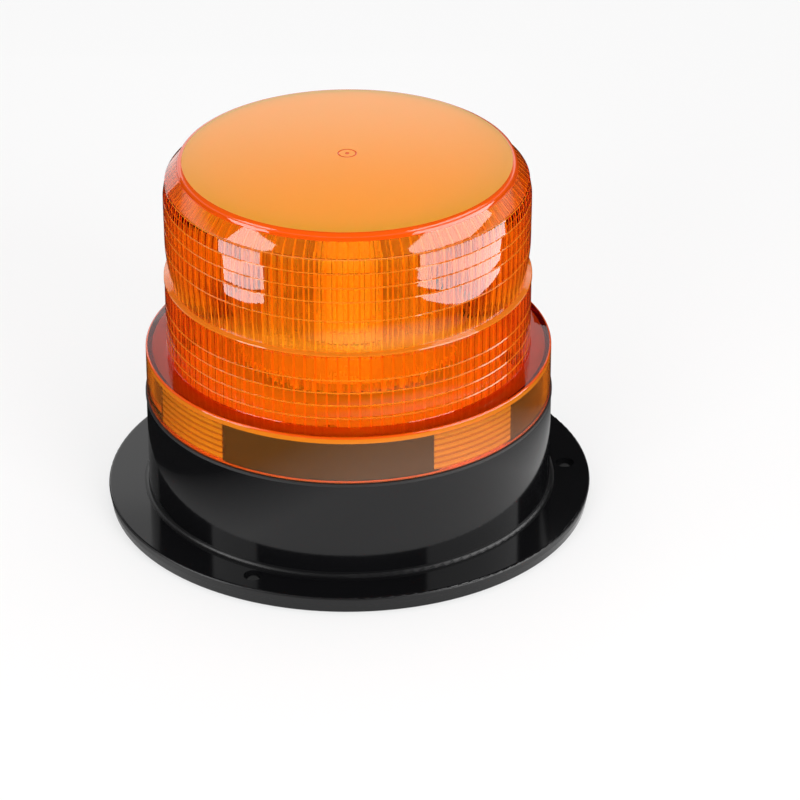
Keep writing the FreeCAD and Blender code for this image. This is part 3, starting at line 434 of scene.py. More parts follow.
AMBERS: dict[Skin, Amber] = {
    Skin.CLEAR: Amber("clear_amber", 0.0, 1.0),
    Skin.FROSTED: Amber("frosted_amber", 0.6, 0.3),
    Skin.MISTED: Amber("misted_amber", 0.5, 0.35, (1.0, 0.62, 0.12)),
    # Grained roughness with a darker brown-orange scatter that is painted shade, under the ledge
    # and between the rib crests in front of the windows.
    Skin.GRAINED_PAINTED_SHADE: Amber("grained_amber_painted_shade", 0.4, 0.45, (0.6, 0.40, 0.15)),
    Skin.SATIN: Amber("satin_amber", 0.27, 0.55, (1.0, 0.56, 0.02)),
    # Painted highlight: a bright orange scatter that draws the light lines on the grooves' lower
    # facets, the lip, the rim's foot and the skirt's bottom edge.
    Skin.LINE: Amber("amber_painted_highlight_line", 0.03, 0.4, (1.0, 0.28, 0.015)),
    # Painted glow: a deep red-orange scatter on the gate mark, the crown's rounded edge, the
    # shoulder's top and the ledge's rim, standing in for light that has come through the thick
    # plastic there.
    Skin.DEEP_PAINTED_GLOW: Amber("deep_amber_painted_glow", 0.03, 0.35, (0.95, 0.11, 0.002)),
    Skin.HAZY: Amber("hazy_amber", 0.01, 0.94, (0.92, 0.42, 0.11), (0.975, 0.70, 0.05)),
    # Painted glints: an opaque pale scatter on the wide flute cusps, standing in for the light that
    # the cusps refract.
    Skin.RIDGE_PAINTED_GLINT: Amber("amber_ridge_painted_glint", 0.3, 0.0, (1.0, 0.95, 0.85)),
    # Painted glow: a pale scatter on the rib crests in front of the collar's windows, standing in
    # for light that comes through the windows and is caught by the crests.
    Skin.PANE_PAINTED_GLOW: Amber("amber_painted_window_glow", 0.3, 0.35, (1.0, 0.97, 0.8)),
}

FINISHES: dict[str, Finish] = {
    "housing_black": HousingFinish(
        "glossy_black_moulding", (0.004, 0.004, 0.0045), 0.09, relief=0.001 * MM),
    "cover_black": Finish("satin_black_moulding", (0.018, 0.018, 0.02), 0.38),
    "seal_rubber": Finish(
        "soft_black_rubber", (0.015, 0.015, 0.015), 0.6, grain=0.3 * MM, relief=0.01 * MM),
    "white_plastic": Finish("white_moulding", (0.86, 0.85, 0.82), 0.35, milky=1.0 * MM),
    "frosted": Finish(
        "frosted_white_tube", (0.93, 0.92, 0.88), 0.45, grain=0.2 * MM, milky=2.0 * MM),
    "screw_steel": Finish(
        "zinc_plated_steel", (0.62, 0.62, 0.6), 0.3, Texture.TURNED, 1.0, 0.2 * MM),
    "turned_brass": Finish(
        "turned_brass", (0.78, 0.57, 0.26), 0.28, Texture.TURNED, 1.0, 0.2 * MM),
    "mirror_chrome": Finish(
        "vacuum_metallised_mirror", (0.92, 0.88, 0.82), 0.12, Texture.POLISHED, 0.65, 3 * MM,
        0.002 * MM),
    "gear_nylon": Finish("natural_nylon", (0.80, 0.78, 0.70), 0.42, milky=1.5 * MM),
    "board_green": Finish(
        "green_laminate", (0.02, 0.16, 0.06), 0.35, Texture.PRINTED, 0.0, 2.2 * MM),
    "led_white": Finish("lamp_chip_resin", (0.95, 0.78, 0.25), 0.3, milky=0.5 * MM),
    "lamp_aluminium": Finish(
        "extruded_aluminium", (0.74, 0.75, 0.77), 0.34, Texture.DRAWN, 1.0, 0.15 * MM),
    "motor_steel": Finish(
        "drawn_steel", (0.58, 0.59, 0.6), 0.32, Texture.DRAWN, 1.0, 0.25 * MM),
    "magnet_ferrite": Finish(
        "dark_ferrite", (0.05, 0.05, 0.052), 0.7, grain=0.3 * MM, relief=0.02 * MM),
    "motor_plastic": Finish("black_end_cap", (0.03, 0.03, 0.032), 0.5),
    "copper": Finish("enamelled_copper", (0.78, 0.34, 0.16), 0.3, Texture.TURNED, 1.0, 0.3 * MM),
    "capacitor_sleeve": Finish("dark_blue_sleeve", (0.012, 0.03, 0.1), 0.28),
    "terminal_green": Finish("green_terminal_plastic", (0.02, 0.24, 0.09), 0.4),
    "chip_black": Finish(
        "chip_resin", (0.02, 0.02, 0.021), 0.55, grain=0.15 * MM, relief=0.01 * MM),
}


@dataclass(frozen=True)
class Ring:
    """One ring of a turned shell.

    Attributes:
        radius: Its radius, or 0 for a single point.
        height: Its height.
        flute: The share of the flutes' depth that it takes.
        rib: The share of the ribs' depth that it takes.
        lug: The share of the lugs' reach that it takes.
        fine: Whether it has the fine columns that the flutes need.
        skin: The finish of the band from it to the next ring.
    """

    radius: float
    height: float
    flute: float = 0.0
    rib: float = 0.0
    lug: float = 0.0
    fine: bool = False
    skin: Skin = Skin.CLEAR


@dataclass
class Lens:
    """The amber lens: a crowned, ringed and fluted dome, a ledge, and a skirt with ribbed windows.

    Attributes are sizes in metres, counts, angles in degrees, and points as radius and height.
    """

    crown_height: float = 104.0 * MM
    crown_radius: float = 44.7 * MM
    crown_edge: float = 102.45 * MM
    crown_round: float = 1.4 * MM
    crown_steps: int = 8
    edge_steps: int = 6
    shoulder_top: Point = (46.1 * MM, 100.7 * MM)
    shoulder_foot: Point = (49.2 * MM, 97.35 * MM)
    upper_grooves: tuple[Point, ...] = (
        (49.4 * MM, 96.8 * MM), (50.0 * MM, 92.85 * MM), (50.0 * MM, 88.7 * MM),
        (49.95 * MM, 84.55 * MM), (49.9 * MM, 78.9 * MM))
    waist: tuple[Point, ...] = (
        (49.85 * MM, 77.6 * MM), (49.65 * MM, 75.6 * MM), (49.35 * MM, 73.4 * MM),
        (49.1 * MM, 71.4 * MM), (49.0 * MM, 69.3 * MM))
    lip_top: float = 68.85 * MM
    lip_bottom: float = 67.85 * MM
    lip_reach: float = 0.2 * MM
    dome_radius: float = 50.2 * MM
    lower_grooves: tuple[Point, ...] = (
        (50.2 * MM, 61.45 * MM), (50.2 * MM, 57.65 * MM), (50.2 * MM, 53.85 * MM),
        (50.2 * MM, 50.05 * MM))
    groove_depth: float = 0.14 * MM
    groove_half: float = 0.22 * MM
    band_bulge: float = 0.02 * MM
    band_steps: int = 6
    ledge_height: float = 47.4 * MM
    ledge_wall: float = 2.0 * MM
    foot_round: float = 0.12 * MM
    skirt_radius: float = 56.0 * MM
    skirt_inside: float = 54.2 * MM
    skirt_bottom: float = 33.5 * MM
    edge_round: float = 0.2 * MM
    rim_round: float = 0.5 * MM
    rim_band: float = 45.6 * MM
    rim_steps: int = 8
    inside_radius: float = 47.9 * MM
    inside_height: float = 95.9 * MM
    cone_steps: int = 5
    ceiling_radius: float = 44.7 * MM
    ceiling: float = 99.6 * MM
    frosted_radius: float = 38.7 * MM
    frosted_depth: float = 0.3 * MM
    frosted_steps: int = 6
    inner_crown: float = 101.3 * MM
    gate_radius: float = 2.4 * MM
    gate_dot: float = 0.6 * MM
    gate_depth: float = 0.12 * MM
    flutes: int = 208
    flute_height: float = 0.015 * MM
    cusp_height: float = 0.14 * MM
    cusp_half: float = 1 / 12
    # The half width of the painted glints at each wide cusp, in flutes, and the share of the
    # flutes' depth above which they are painted.
    painted_glint_half: float = 1 / 6
    painted_glint_from: float = 0.3
    rib_pitch: float = 1.8 * MM
    rib_height: float = 0.22 * MM
    rib_bottom: float = 34.4 * MM
    rib_rows: int = 36
    rib_steps: int = 6
    rib_from: float = 24.9
    rib_to: float = 141.3
    rib_fade: float = 0.4
    windows: int = 4
    window_turn: float = 38.1
    window_angle: float = 27.7
    lug_bottom: float = 35.3 * MM
    lug_top: float = 38.1 * MM
    lug_reach: float = 1.7 * MM
    lug_turn: float = 16.1
    lug_angle: float = 12.0
    lugs: int = 2
    columns: int = 312
    fine_share: int = 4
    sharp_angle: float = 24.0

    def crown_at(self, radius: float) -> float:
        """Give the crown's height at a radius."""
        rise = self.crown_height - self.crown_edge
        bend = (self.crown_radius ** 2 + rise ** 2) / (2 * rise)
        return self.crown_height - (bend - math.sqrt(bend ** 2 - radius ** 2))

    def crown(self) -> list[Ring]:
        """Lay out the top: the gate mark, the satin crown, its rounded edge and the shoulder.

        Returns:
            The rings, outwards and down.
        """
        half, depth = self.groove_half, self.gate_depth
        dot, gate = self.gate_dot, self.gate_radius
        # The gate mark, the crown's rounded edge and the shoulder's top are painted with the deep
        # orange glow.
        rings = [Ring(0.0, self.crown_height - depth, skin=Skin.DEEP_PAINTED_GLOW),
                 Ring(dot - half, self.crown_at(dot) - depth, skin=Skin.DEEP_PAINTED_GLOW),
                 Ring(dot, self.crown_at(dot), skin=Skin.SATIN),
                 Ring(gate - half, self.crown_at(gate), skin=Skin.DEEP_PAINTED_GLOW),
                 Ring(gate, self.crown_at(gate) - depth, skin=Skin.DEEP_PAINTED_GLOW),
                 Ring(gate + half, self.crown_at(gate), skin=Skin.SATIN)]
        start = 2 * gate
        for index in range(self.crown_steps):
            radius = start + (self.crown_radius - start) * index / self.crown_steps
            rings.append(Ring(radius, self.crown_at(radius), skin=Skin.SATIN))
        for index in range(self.edge_steps + 1):
            angle = math.pi / 2 * (1 - index / self.edge_steps)
            drop = self.crown_round * (1 - math.sin(angle))
            rings.append(Ring(self.crown_radius + self.crown_round * math.cos(angle),
                              self.crown_edge - drop, skin=Skin.DEEP_PAINTED_GLOW))
        (top, top_height), (foot, foot_height) = self.shoulder_top, self.shoulder_foot
        share = half / (top_height - foot_height)
        return rings + [Ring(top, top_height, skin=Skin.DEEP_PAINTED_GLOW),
                        Ring(top + (foot - top) * share, top_height - half),
                        Ring(foot, foot_height)]

    def groove(self, middle: Point) -> list[Ring]:
        """Lay out one V groove around the dome, downwards, with a painted highlight line on its
        lower facet.
        """
        radius, height = middle
        return [Ring(radius, height + self.groove_half),
                Ring(radius - self.groove_depth, height, skin=Skin.LINE),
                Ring(radius, height - self.groove_half)]

    def band(self, upper: Point, lower: Point) -> list[Ring]:
        """Lay out the slightly bulged band between two grooves, without its edges.

        Args:
            upper: The middle of the groove above it.
            lower: The middle of the groove below it.

        Returns:
            The rings, downwards.
        """
        top, bottom = upper[1] - self.groove_half, lower[1] + self.groove_half
        rings = []
        for index in range(1, self.band_steps):
            share = index / self.band_steps
            radius = upper[0] + (lower[0] - upper[0]) * share
            bulge = self.band_bulge * 4 * share * (1 - share)
            rings.append(Ring(radius + bulge, top + (bottom - top) * share))
        return rings

    def bands(self, grooves: tuple[Point, ...]) -> list[Ring]:
        """Lay out a run of grooves with the bands between them."""
        rings = self.groove(grooves[0])
        for upper, lower in zip(grooves, grooves[1:]):
            rings += self.band(upper, lower) + self.groove(lower)
        return rings

    def dome(self) -> list[Ring]:
        """Lay out the dome's ringed outside, down to the ledge.

        Returns:
            The rings, downwards.
        """
        lip_radius = self.dome_radius + self.lip_reach
        rings = self.bands(self.upper_grooves)
        rings += [Ring(*point) for point in self.waist[:-1]]
        # The waist's last band and the lip's top carry the painted highlight line.
        rings += [Ring(*self.waist[-1], skin=Skin.LINE),
                  Ring(lip_radius - self.edge_round, self.lip_top, skin=Skin.LINE),
                  Ring(lip_radius, self.lip_top - self.edge_round),
                  Ring(lip_radius, self.lip_bottom + self.edge_round),
                  Ring(self.dome_radius, self.lip_bottom)]
        rings += self.band((self.dome_radius, self.lip_bottom), self.lower_grooves[0])
        rings += self.bands(self.lower_grooves)
        rings += [Ring(self.dome_radius, self.ledge_height + self.foot_round),
                  Ring(self.dome_radius + self.foot_round, self.ledge_height)]
        return rings

    def rim(self) -> list[Ring]:
        """Lay out the ledge's rounded rim, with a painted deep orange glow, and the band under it,
        with a painted bright highlight line.

        Returns:
            The rings, outwards and down.
        """
        middle = self.skirt_radius - self.rim_round, self.ledge_height - self.rim_round
        rings = []
        for index in range(self.rim_steps + 1):
            angle = math.pi / 2 * (1 - index / self.rim_steps)
            rings.append(Ring(middle[0] + self.rim_round * math.cos(angle),
                              middle[1] + self.rim_round * math.sin(angle),
                              skin=Skin.LINE if index == self.rim_steps else Skin.DEEP_PAINTED_GLOW))
        return rings + [Ring(self.skirt_radius, self.rim_band, skin=Skin.HAZY)]

    def skirt(self) -> list[Ring]:
        """Lay out the skirt: its bottom edge, its ribbed inside and the ledge's underside.

        Returns:
            The rings, down, inwards and up again.
        """
        # The skirt's bottom edge carries the painted highlight line.
        rings = [Ring(self.skirt_radius, self.skirt_bottom + self.edge_round, skin=Skin.LINE),
                 Ring(self.skirt_radius - self.edge_round, self.skirt_bottom, skin=Skin.LINE),
                 Ring(self.skirt_inside + self.edge_round, self.skirt_bottom, skin=Skin.LINE),
                 Ring(self.skirt_inside, self.skirt_bottom + self.edge_round)]
        # In front of the collar's windows the rib crests get the painted glow and the rows between
        # them painted shade; the ledge's underside gets painted shade too.
        for index in range(self.rib_rows + 1):
            height = self.rib_bottom + self.rib_pitch * index / self.rib_steps
            inside_lug = self.lug_bottom <= height <= self.lug_top
            on_rib = 0 < index % self.rib_steps < self.rib_steps - 1
            rings.append(Ring(self.skirt_inside, height, rib=1.0, lug=float(inside_lug),
                              skin=Skin.PANE_PAINTED_GLOW if on_rib else Skin.GRAINED_PAINTED_SHADE))
        underside = self.ledge_height - self.ledge_wall
        return rings + [Ring(self.skirt_inside, underside, skin=Skin.GRAINED_PAINTED_SHADE),
                        Ring(self.inside_radius + self.foot_round, underside)]

    def inside(self) -> list[Ring]:
        """Lay out the fluted inner wall and the ceiling with its frosted disc.

        Returns:
            The rings, up and then inwards.
        """
        underside = self.ledge_height - self.ledge_wall
        rings = [Ring(self.inside_radius, underside, flute=1.0, fine=True)]
        for index in range(self.cone_steps + 1):
            share = index / self.cone_steps
            radius = self.inside_radius + (self.ceiling_radius - self.inside_radius) * share
            height = self.inside_height + (self.ceiling - self.inside_height) * share
            rings.append(Ring(radius, height, flute=1.0, fine=True))
        edge = self.ceiling - self.frosted_depth
        rings += [Ring(self.ceiling_radius - self.foot_round, self.ceiling, skin=Skin.MISTED),
                  Ring(self.frosted_radius, self.ceiling, skin=Skin.MISTED),
                  Ring(self.frosted_radius, edge, skin=Skin.FROSTED)]
        for index in range(1, self.frosted_steps):
            share = index / self.frosted_steps
            rise = (self.inner_crown - edge) * (1 - (1 - share) ** 2)
            rings.append(Ring(self.frosted_radius * (1 - share), edge + rise, skin=Skin.FROSTED))
        return rings + [Ring(0.0, self.inner_crown)]

    def in_ribs(self, angle: float) -> bool:
        """Tell whether the skirt is ribbed at an angle in degrees, on the front or on the back."""
        return self.rib_from <= (angle + 180) % 180 <= self.rib_to

    def in_lug(self, angle: float) -> bool:
        """Tell whether a lock lug stands at an angle in degrees."""
        return self.near(angle, self.lugs, self.lug_turn, self.lug_angle)

    def in_window(self, angle: float) -> bool:
        """Tell whether one of the collar's windows is behind the skirt at an angle in degrees."""
        return self.near(angle, self.windows, self.window_turn, self.window_angle)

    @staticmethod
    def near(angle: float, count: int, turn: float, width: float) -> bool:
        """Tell whether an angle is within one of some evenly spaced places.

        Args:
            angle: The angle in degrees.
            count: How many places there are.
            turn: The middle of the first one in degrees.
            width: The width of each in degrees.

        Returns:
            Whether it is.
        """
        step = 360 / count
        offset = (angle - turn + step / 2) % step - step / 2
        return abs(offset) <= width / 2

    def rib_share(self, angle: float) -> float:
        """Give the share of the ribs' depth at an angle in degrees, full in the windows only."""
        if self.in_lug(angle) or not self.in_ribs(angle):
            return 0.0
        return 1.0 if self.in_window(angle) else self.rib_fade

    def shell(self) -> bpy.types.Mesh:
        """Build the closed shell, before its flutes and ribs.

        Returns:
            The mesh, with "flute" and "rib" on its points and "skin" on its faces.
        """
        rings = self.crown() + self.dome() + self.rim() + self.skirt() + self.inside()
        points: list[Place] = []
        flute: list[float] = []
        rib: list[float] = []
        starts: list[tuple[int, int]] = []
        for ring in rings:
            columns = self.columns * (self.fine_share if ring.fine else 1)
            count = 1 if ring.radius == 0 else columns
            starts.append((len(points), count))
            for index in range(count):
                degrees = 360 * index / count
                lugged = ring.lug > 0 and self.in_lug(degrees)
                radius = ring.radius - (self.lug_reach if lugged else 0.0)
                angle = math.radians(degrees)
                points.append((radius * math.cos(angle), radius * math.sin(angle), ring.height))
                flute.append(ring.flute)
                rib.append(ring.rib * self.rib_share(degrees))
        faces: list[list[int]] = []
        skins: list[int] = []
        for ring, one, other in zip(rings, starts, starts[1:]):
            new = self.strip(one, other)
            faces += new
            for index in range(len(new)):
                degrees = 360 * (index + 0.5) / len(new)
                # Outside the windows the ribbed rows stay clear, so the painted glow and shade stay
                # in front of the windows.
                behind = ring.rib > 0 and not self.in_window(degrees)
                skins.append((Skin.CLEAR if behind else ring.skin).value)
        mesh = bpy.data.meshes.new("lens_shell")
        mesh.from_pydata(points, [], faces)
        for name, values in (("flute", flute), ("rib", rib)):
            mesh.attributes.new(name, "FLOAT", "POINT").data.foreach_set("value", values)
        mesh.attributes.new("skin", "INT", "FACE").data.foreach_set("value", skins)
        return mesh

    @staticmethod
    def strip(one: tuple[int, int], other: tuple[int, int]) -> list[list[int]]:
        """Join two rings with faces whose outsides point outwards.

        Args:
            one: The first ring's first point and count.
            other: The next ring's first point and count.

        Returns:
            The faces, as lists of point numbers.
        """
        sections = min(one[1], other[1])
        if sections == 1:
            sections = max(one[1], other[1])
        return [Lens.arc(one, index, sections)[::-1] + Lens.arc(other, index, sections)
                for index in range(sections)]

    @staticmethod
    def arc(ring: tuple[int, int], index: int, sections: int) -> list[int]:
        """Give the points along one of a ring's equal sections, with both of its ends."""
        first, count = ring
        return [first + (index * count // sections + step) % count
                for step in range(count // sections + 1)]

    def tree_sizes(self) -> dict[str, float]:
        """Give the geometry tree's sizes by the names of its inputs."""
        return {"Flutes": float(self.flutes), "Flute height": self.flute_height,
                "Cusp height": self.cusp_height, "Rib pitch": self.rib_pitch,
                "Rib height": self.rib_height, "Rib bottom": self.rib_bottom}

    def flute_tree(self) -> bpy.types.NodeTree:
        """Build the tree that presses the flutes and ribs into the shell and sets its materials.

        Returns:
            The geometry tree, with its sizes as named inputs.
        """
        tree = bpy.data.node_groups.new("flutes_and_ribs", "GeometryNodeTree")
        graph = Graph(tree)
        kinds = {"Geometry": "Geometry", **dict.fromkeys(self.tree_sizes(), "Float"),
                 **{skin.name: "Material" for skin in Skin}}
        for name, kind in kinds.items():
            tree.interface.new_socket(name, in_out="INPUT", socket_type=f"NodeSocket{kind}")
        tree.interface.new_socket("Geometry", in_out="OUTPUT", socket_type="NodeSocketGeometry")
        given = graph.node("NodeGroupInput").outputs
        place = graph.node("GeometryNodeInputPosition").outputs[0]
        x, y, z = graph.node("ShaderNodeSeparateXYZ", {0: place}).outputs
        around = graph.math("MULTIPLY", graph.math("ARCTAN2", y, x), given["Flutes"])
        turns = graph.math("DIVIDE", around, math.tau)
        above = graph.math("SUBTRACT", z, given["Rib bottom"])
        steps = graph.math("DIVIDE", above, given["Rib pitch"])
        from_wide = graph.math("PINGPONG", turns, 1.0)
        flute, rib = [
            graph.node("GeometryNodeInputNamedAttribute", {0: name}, data_type="FLOAT").outputs[0]
            for name in ("flute", "rib")]
        flute_depth = self.flute_depth(graph, given, turns, from_wide)
        rib_depth = graph.math("MULTIPLY", graph.math("SUBTRACT", self.hump(graph, steps), 1.0),
                               given["Rib height"])
        inwards = graph.math("ADD", graph.math("MULTIPLY", flute_depth, flute),
                             graph.math("MULTIPLY", rib_depth, rib))
        radial = graph.node("ShaderNodeCombineXYZ", {0: x, 1: y})
        outwards = graph.vector("NORMALIZE", radial.outputs[0])
        shift = graph.node("ShaderNodeVectorMath", {
            0: outwards.outputs[0], 3: graph.math("MULTIPLY", inwards, -1.0)}, operation="SCALE")
        moved = graph.node("GeometryNodeSetPosition", {
            "Geometry": given["Geometry"], "Offset": shift.outputs[0]})
        number = graph.node("GeometryNodeInputNamedAttribute", {0: "skin"}, data_type="INT")
        dressed = graph.node("GeometryNodeRealizeInstances", {0: moved.outputs[0]})
        # The wide cusps of the fluted wall get the painted glints.
        on_painted_glint = graph.math("MULTIPLY", graph.math("LESS_THAN", from_wide, self.painted_glint_half),
                              graph.math("GREATER_THAN", flute, self.painted_glint_from))
        choices = [(skin, graph.node("FunctionNodeCompare", {
            2: number.outputs[0], 3: skin.value}, data_type="INT", operation="EQUAL").outputs[0])
            for skin in Skin]
        for skin, chosen in choices + [(Skin.RIDGE_PAINTED_GLINT, on_painted_glint)]:
            dressed = graph.node("GeometryNodeSetMaterial", {
                "Geometry": dressed.outputs[0], "Selection": chosen, "Material": given[skin.name]})
        graph.node("NodeGroupOutput", {0: dressed.outputs[0]})
        return tree

    def flute_depth(self, graph: Graph, given: bpy.types.NodeOutputs, turns: Socket,
                    from_wide: Socket) -> Socket:
        """Make the flutes' depth: round humps with a raised cusp between them, wide at every other.

        Args:
            graph: The tree's nodes.
            given: The tree's inputs.
            turns: How many flutes lie between +X and the point.
            from_wide: How far the point is from the nearest wide cusp, in flutes.

        Returns:
            The depth in metres, inwards.
        """
        from_cusp = graph.math("PINGPONG", turns, 0.5)
        cusps = [graph.math("LESS_THAN", away, self.cusp_half) for away in (from_cusp, from_wide)]
        half_height = graph.math("MULTIPLY", given["Cusp height"], 0.5)
        cusp = graph.math("MULTIPLY", graph.math("ADD", *cusps), half_height)
        hump = graph.math("MULTIPLY", self.hump(graph, turns), given["Flute height"])
        return graph.math("ADD", hump, cusp)

    @staticmethod
    def hump(graph: Graph, turns: Socket) -> Socket:
        """Make round humps, one for each whole turn, from 0 at their edges to 1 in the middle."""
        doubled = graph.math("MULTIPLY", graph.math("FRACT", turns), 2.0)
        across = graph.math("SUBTRACT", doubled, 1.0)
        return graph.math("SUBTRACT", 1.0, graph.math("MULTIPLY", across, across))

    def build(self) -> bpy.types.Object:
        """Build the whole lens and set it on its body.

        Returns:
            The finished piece.
        """
        draft = bpy.data.objects.new("lens_draft", self.shell())
        bpy.context.scene.collection.objects.link(draft)
        values = {**self.tree_sizes(), **{skin.name: AMBERS[skin].material() for skin in Skin}}
        lens = plain_mesh(draft, self.flute_tree(), values, "amber_lens")
        lens.data.set_sharp_from_angle(angle=math.radians(self.sharp_angle))
        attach(lens, "lens")
        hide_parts("lens")
        return lens


def plain_mesh(draft: bpy.types.Object, tree: bpy.types.NodeTree, values: dict[str, object],
               name: str) -> bpy.types.Object:
    """Run a geometry tree on an object and keep the result as a plain mesh.

    Args:
        draft: The object that the tree starts from, which is removed.
        tree: The geometry tree.
        values: The tree's inputs by name.
        name: The new piece's name.

    Returns:
        The new object, with no modifier.
    """
    modifier = draft.modifiers.new("shape", "NODES")
    modifier.node_group = tree
    for item in tree.interface.items_tree:
        if item.in_out == "INPUT" and item.name in values:
            modifier[item.identifier] = values[item.name]
    evaluated = draft.evaluated_get(bpy.context.evaluated_depsgraph_get())
    mesh = bpy.data.meshes.new_from_object(evaluated)
    bpy.data.objects.remove(draft)
    mesh.name = name
    mesh.shade_smooth()
    piece = bpy.data.objects.new(name, mesh)
    bpy.context.scene.collection.objects.link(piece)
    return piece


@dataclass
class Mechanism:
    """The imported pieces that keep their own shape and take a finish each."""

    frame: dict
    disc_finish: Finish = Finish(
        "bright_satin_disc", (0.95, 0.93, 0.86), 0.25, Texture.TURNED, 0.3, 0.4 * MM)

    def dress(self) -> int:
        """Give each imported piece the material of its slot, and the turntable's disc its own.

        Returns:
            How many pieces were dressed.
        """
        materials = {slot: finish.material() for slot, finish in FINISHES.items()}
        dressed = 0
        for part in self.frame["record"]["subparts"]:
            slot = part["material_slot"]
            if slot not in materials:
                continue
            mesh = self.frame["nodes"][part["node"]].data
            mesh.materials.clear()
            mesh.materials.append(materials[slot])
            dressed += 1
        disc = self.frame["nodes"]["turntable_disc"].data
        disc.materials[0] = self.disc_finish.material()
        return dressed


@dataclass(frozen=True)
class Lamp:
    """A rectangular soft lamp, which shows in no glossy surface unless it is only for those.

    Attributes:
        name: The lamp's name.
        place: Its middle in metres.
        aim: The point that it faces.
        size: Its width and height in metres.
        strength: Its brightness, where 1 is white.
        reflections_only: Whether it shows in glossy surfaces only.
    """

    name: str
    place: Place
    aim: Place
    size: Point
    strength: float
    reflections_only: bool = False

    def hang(self) -> bpy.types.Object:
        """Hang the lamp in the scene.

        Returns:
            The lamp.
        """
        light = bpy.data.lights.new(self.name, "AREA")
        light.shape = "RECTANGLE"
        light.size, light.size_y = self.size
        light.energy = self.strength * self.size[0] * self.size[1] * math.pi
        lamp = bpy.data.objects.new(self.name, light)
        lamp.location = self.place
        facing = Vector(self.aim) - Vector(self.place)
        lamp.rotation_euler = facing.to_track_quat("-Z", "Y").to_euler()
        lamp.visible_camera = False
        lamp.visible_glossy = self.reflections_only
        lamp.visible_diffuse = not self.reflections_only
        lamp.visible_transmission = not self.reflections_only
        bpy.context.scene.collection.objects.link(lamp)
        return lamp


# The key lamps, and then the softboxes that stand beside and behind the beacon. Those at the side
# leave a gap at the height of the lens's top, which would mirror them from behind.
LAMPS: tuple[Lamp, ...] = (
    Lamp("overhead", (0.0, 0.15, 1.1), (0.0, 0.0, 0.05), (0.9, 0.7), 1.0),
    Lamp("front_left", (-0.6, -1.1, 0.55), (0.0, 0.0, 0.05), (0.6, 0.6), 5.6),
    Lamp("front_right", (0.7, -1.0, 0.6), (0.0, 0.0, 0.05), (0.6, 0.6), 7.2),
    Lamp("left_softbox", (-0.155, -0.090, 0.053), (0.0, -0.015, 0.053), (0.085, 0.094), 6.0, True),
    Lamp("left_top", (-0.155, -0.090, 0.2055), (0.0, -0.015, 0.2055), (0.085, 0.081), 6.0, True),
    Lamp("right_softbox", (0.142, -0.065, 0.057), (0.0, -0.02, 0.057), (0.175, 0.086), 5.5, True),
    Lamp("right_top", (0.142, -0.065, 0.2055), (0.0, -0.02, 0.2055), (0.175, 0.081), 5.5, True),
    Lamp("back_softbox", (-0.12, 0.30, 0.095), (-0.12, 0.0, 0.095), (0.36, 0.19), 1.0, True),
    Lamp("back_strip", (0.0, 0.30, 0.22), (0.0, 0.0, 0.22), (0.6, 0.06), 0.7, True),
)


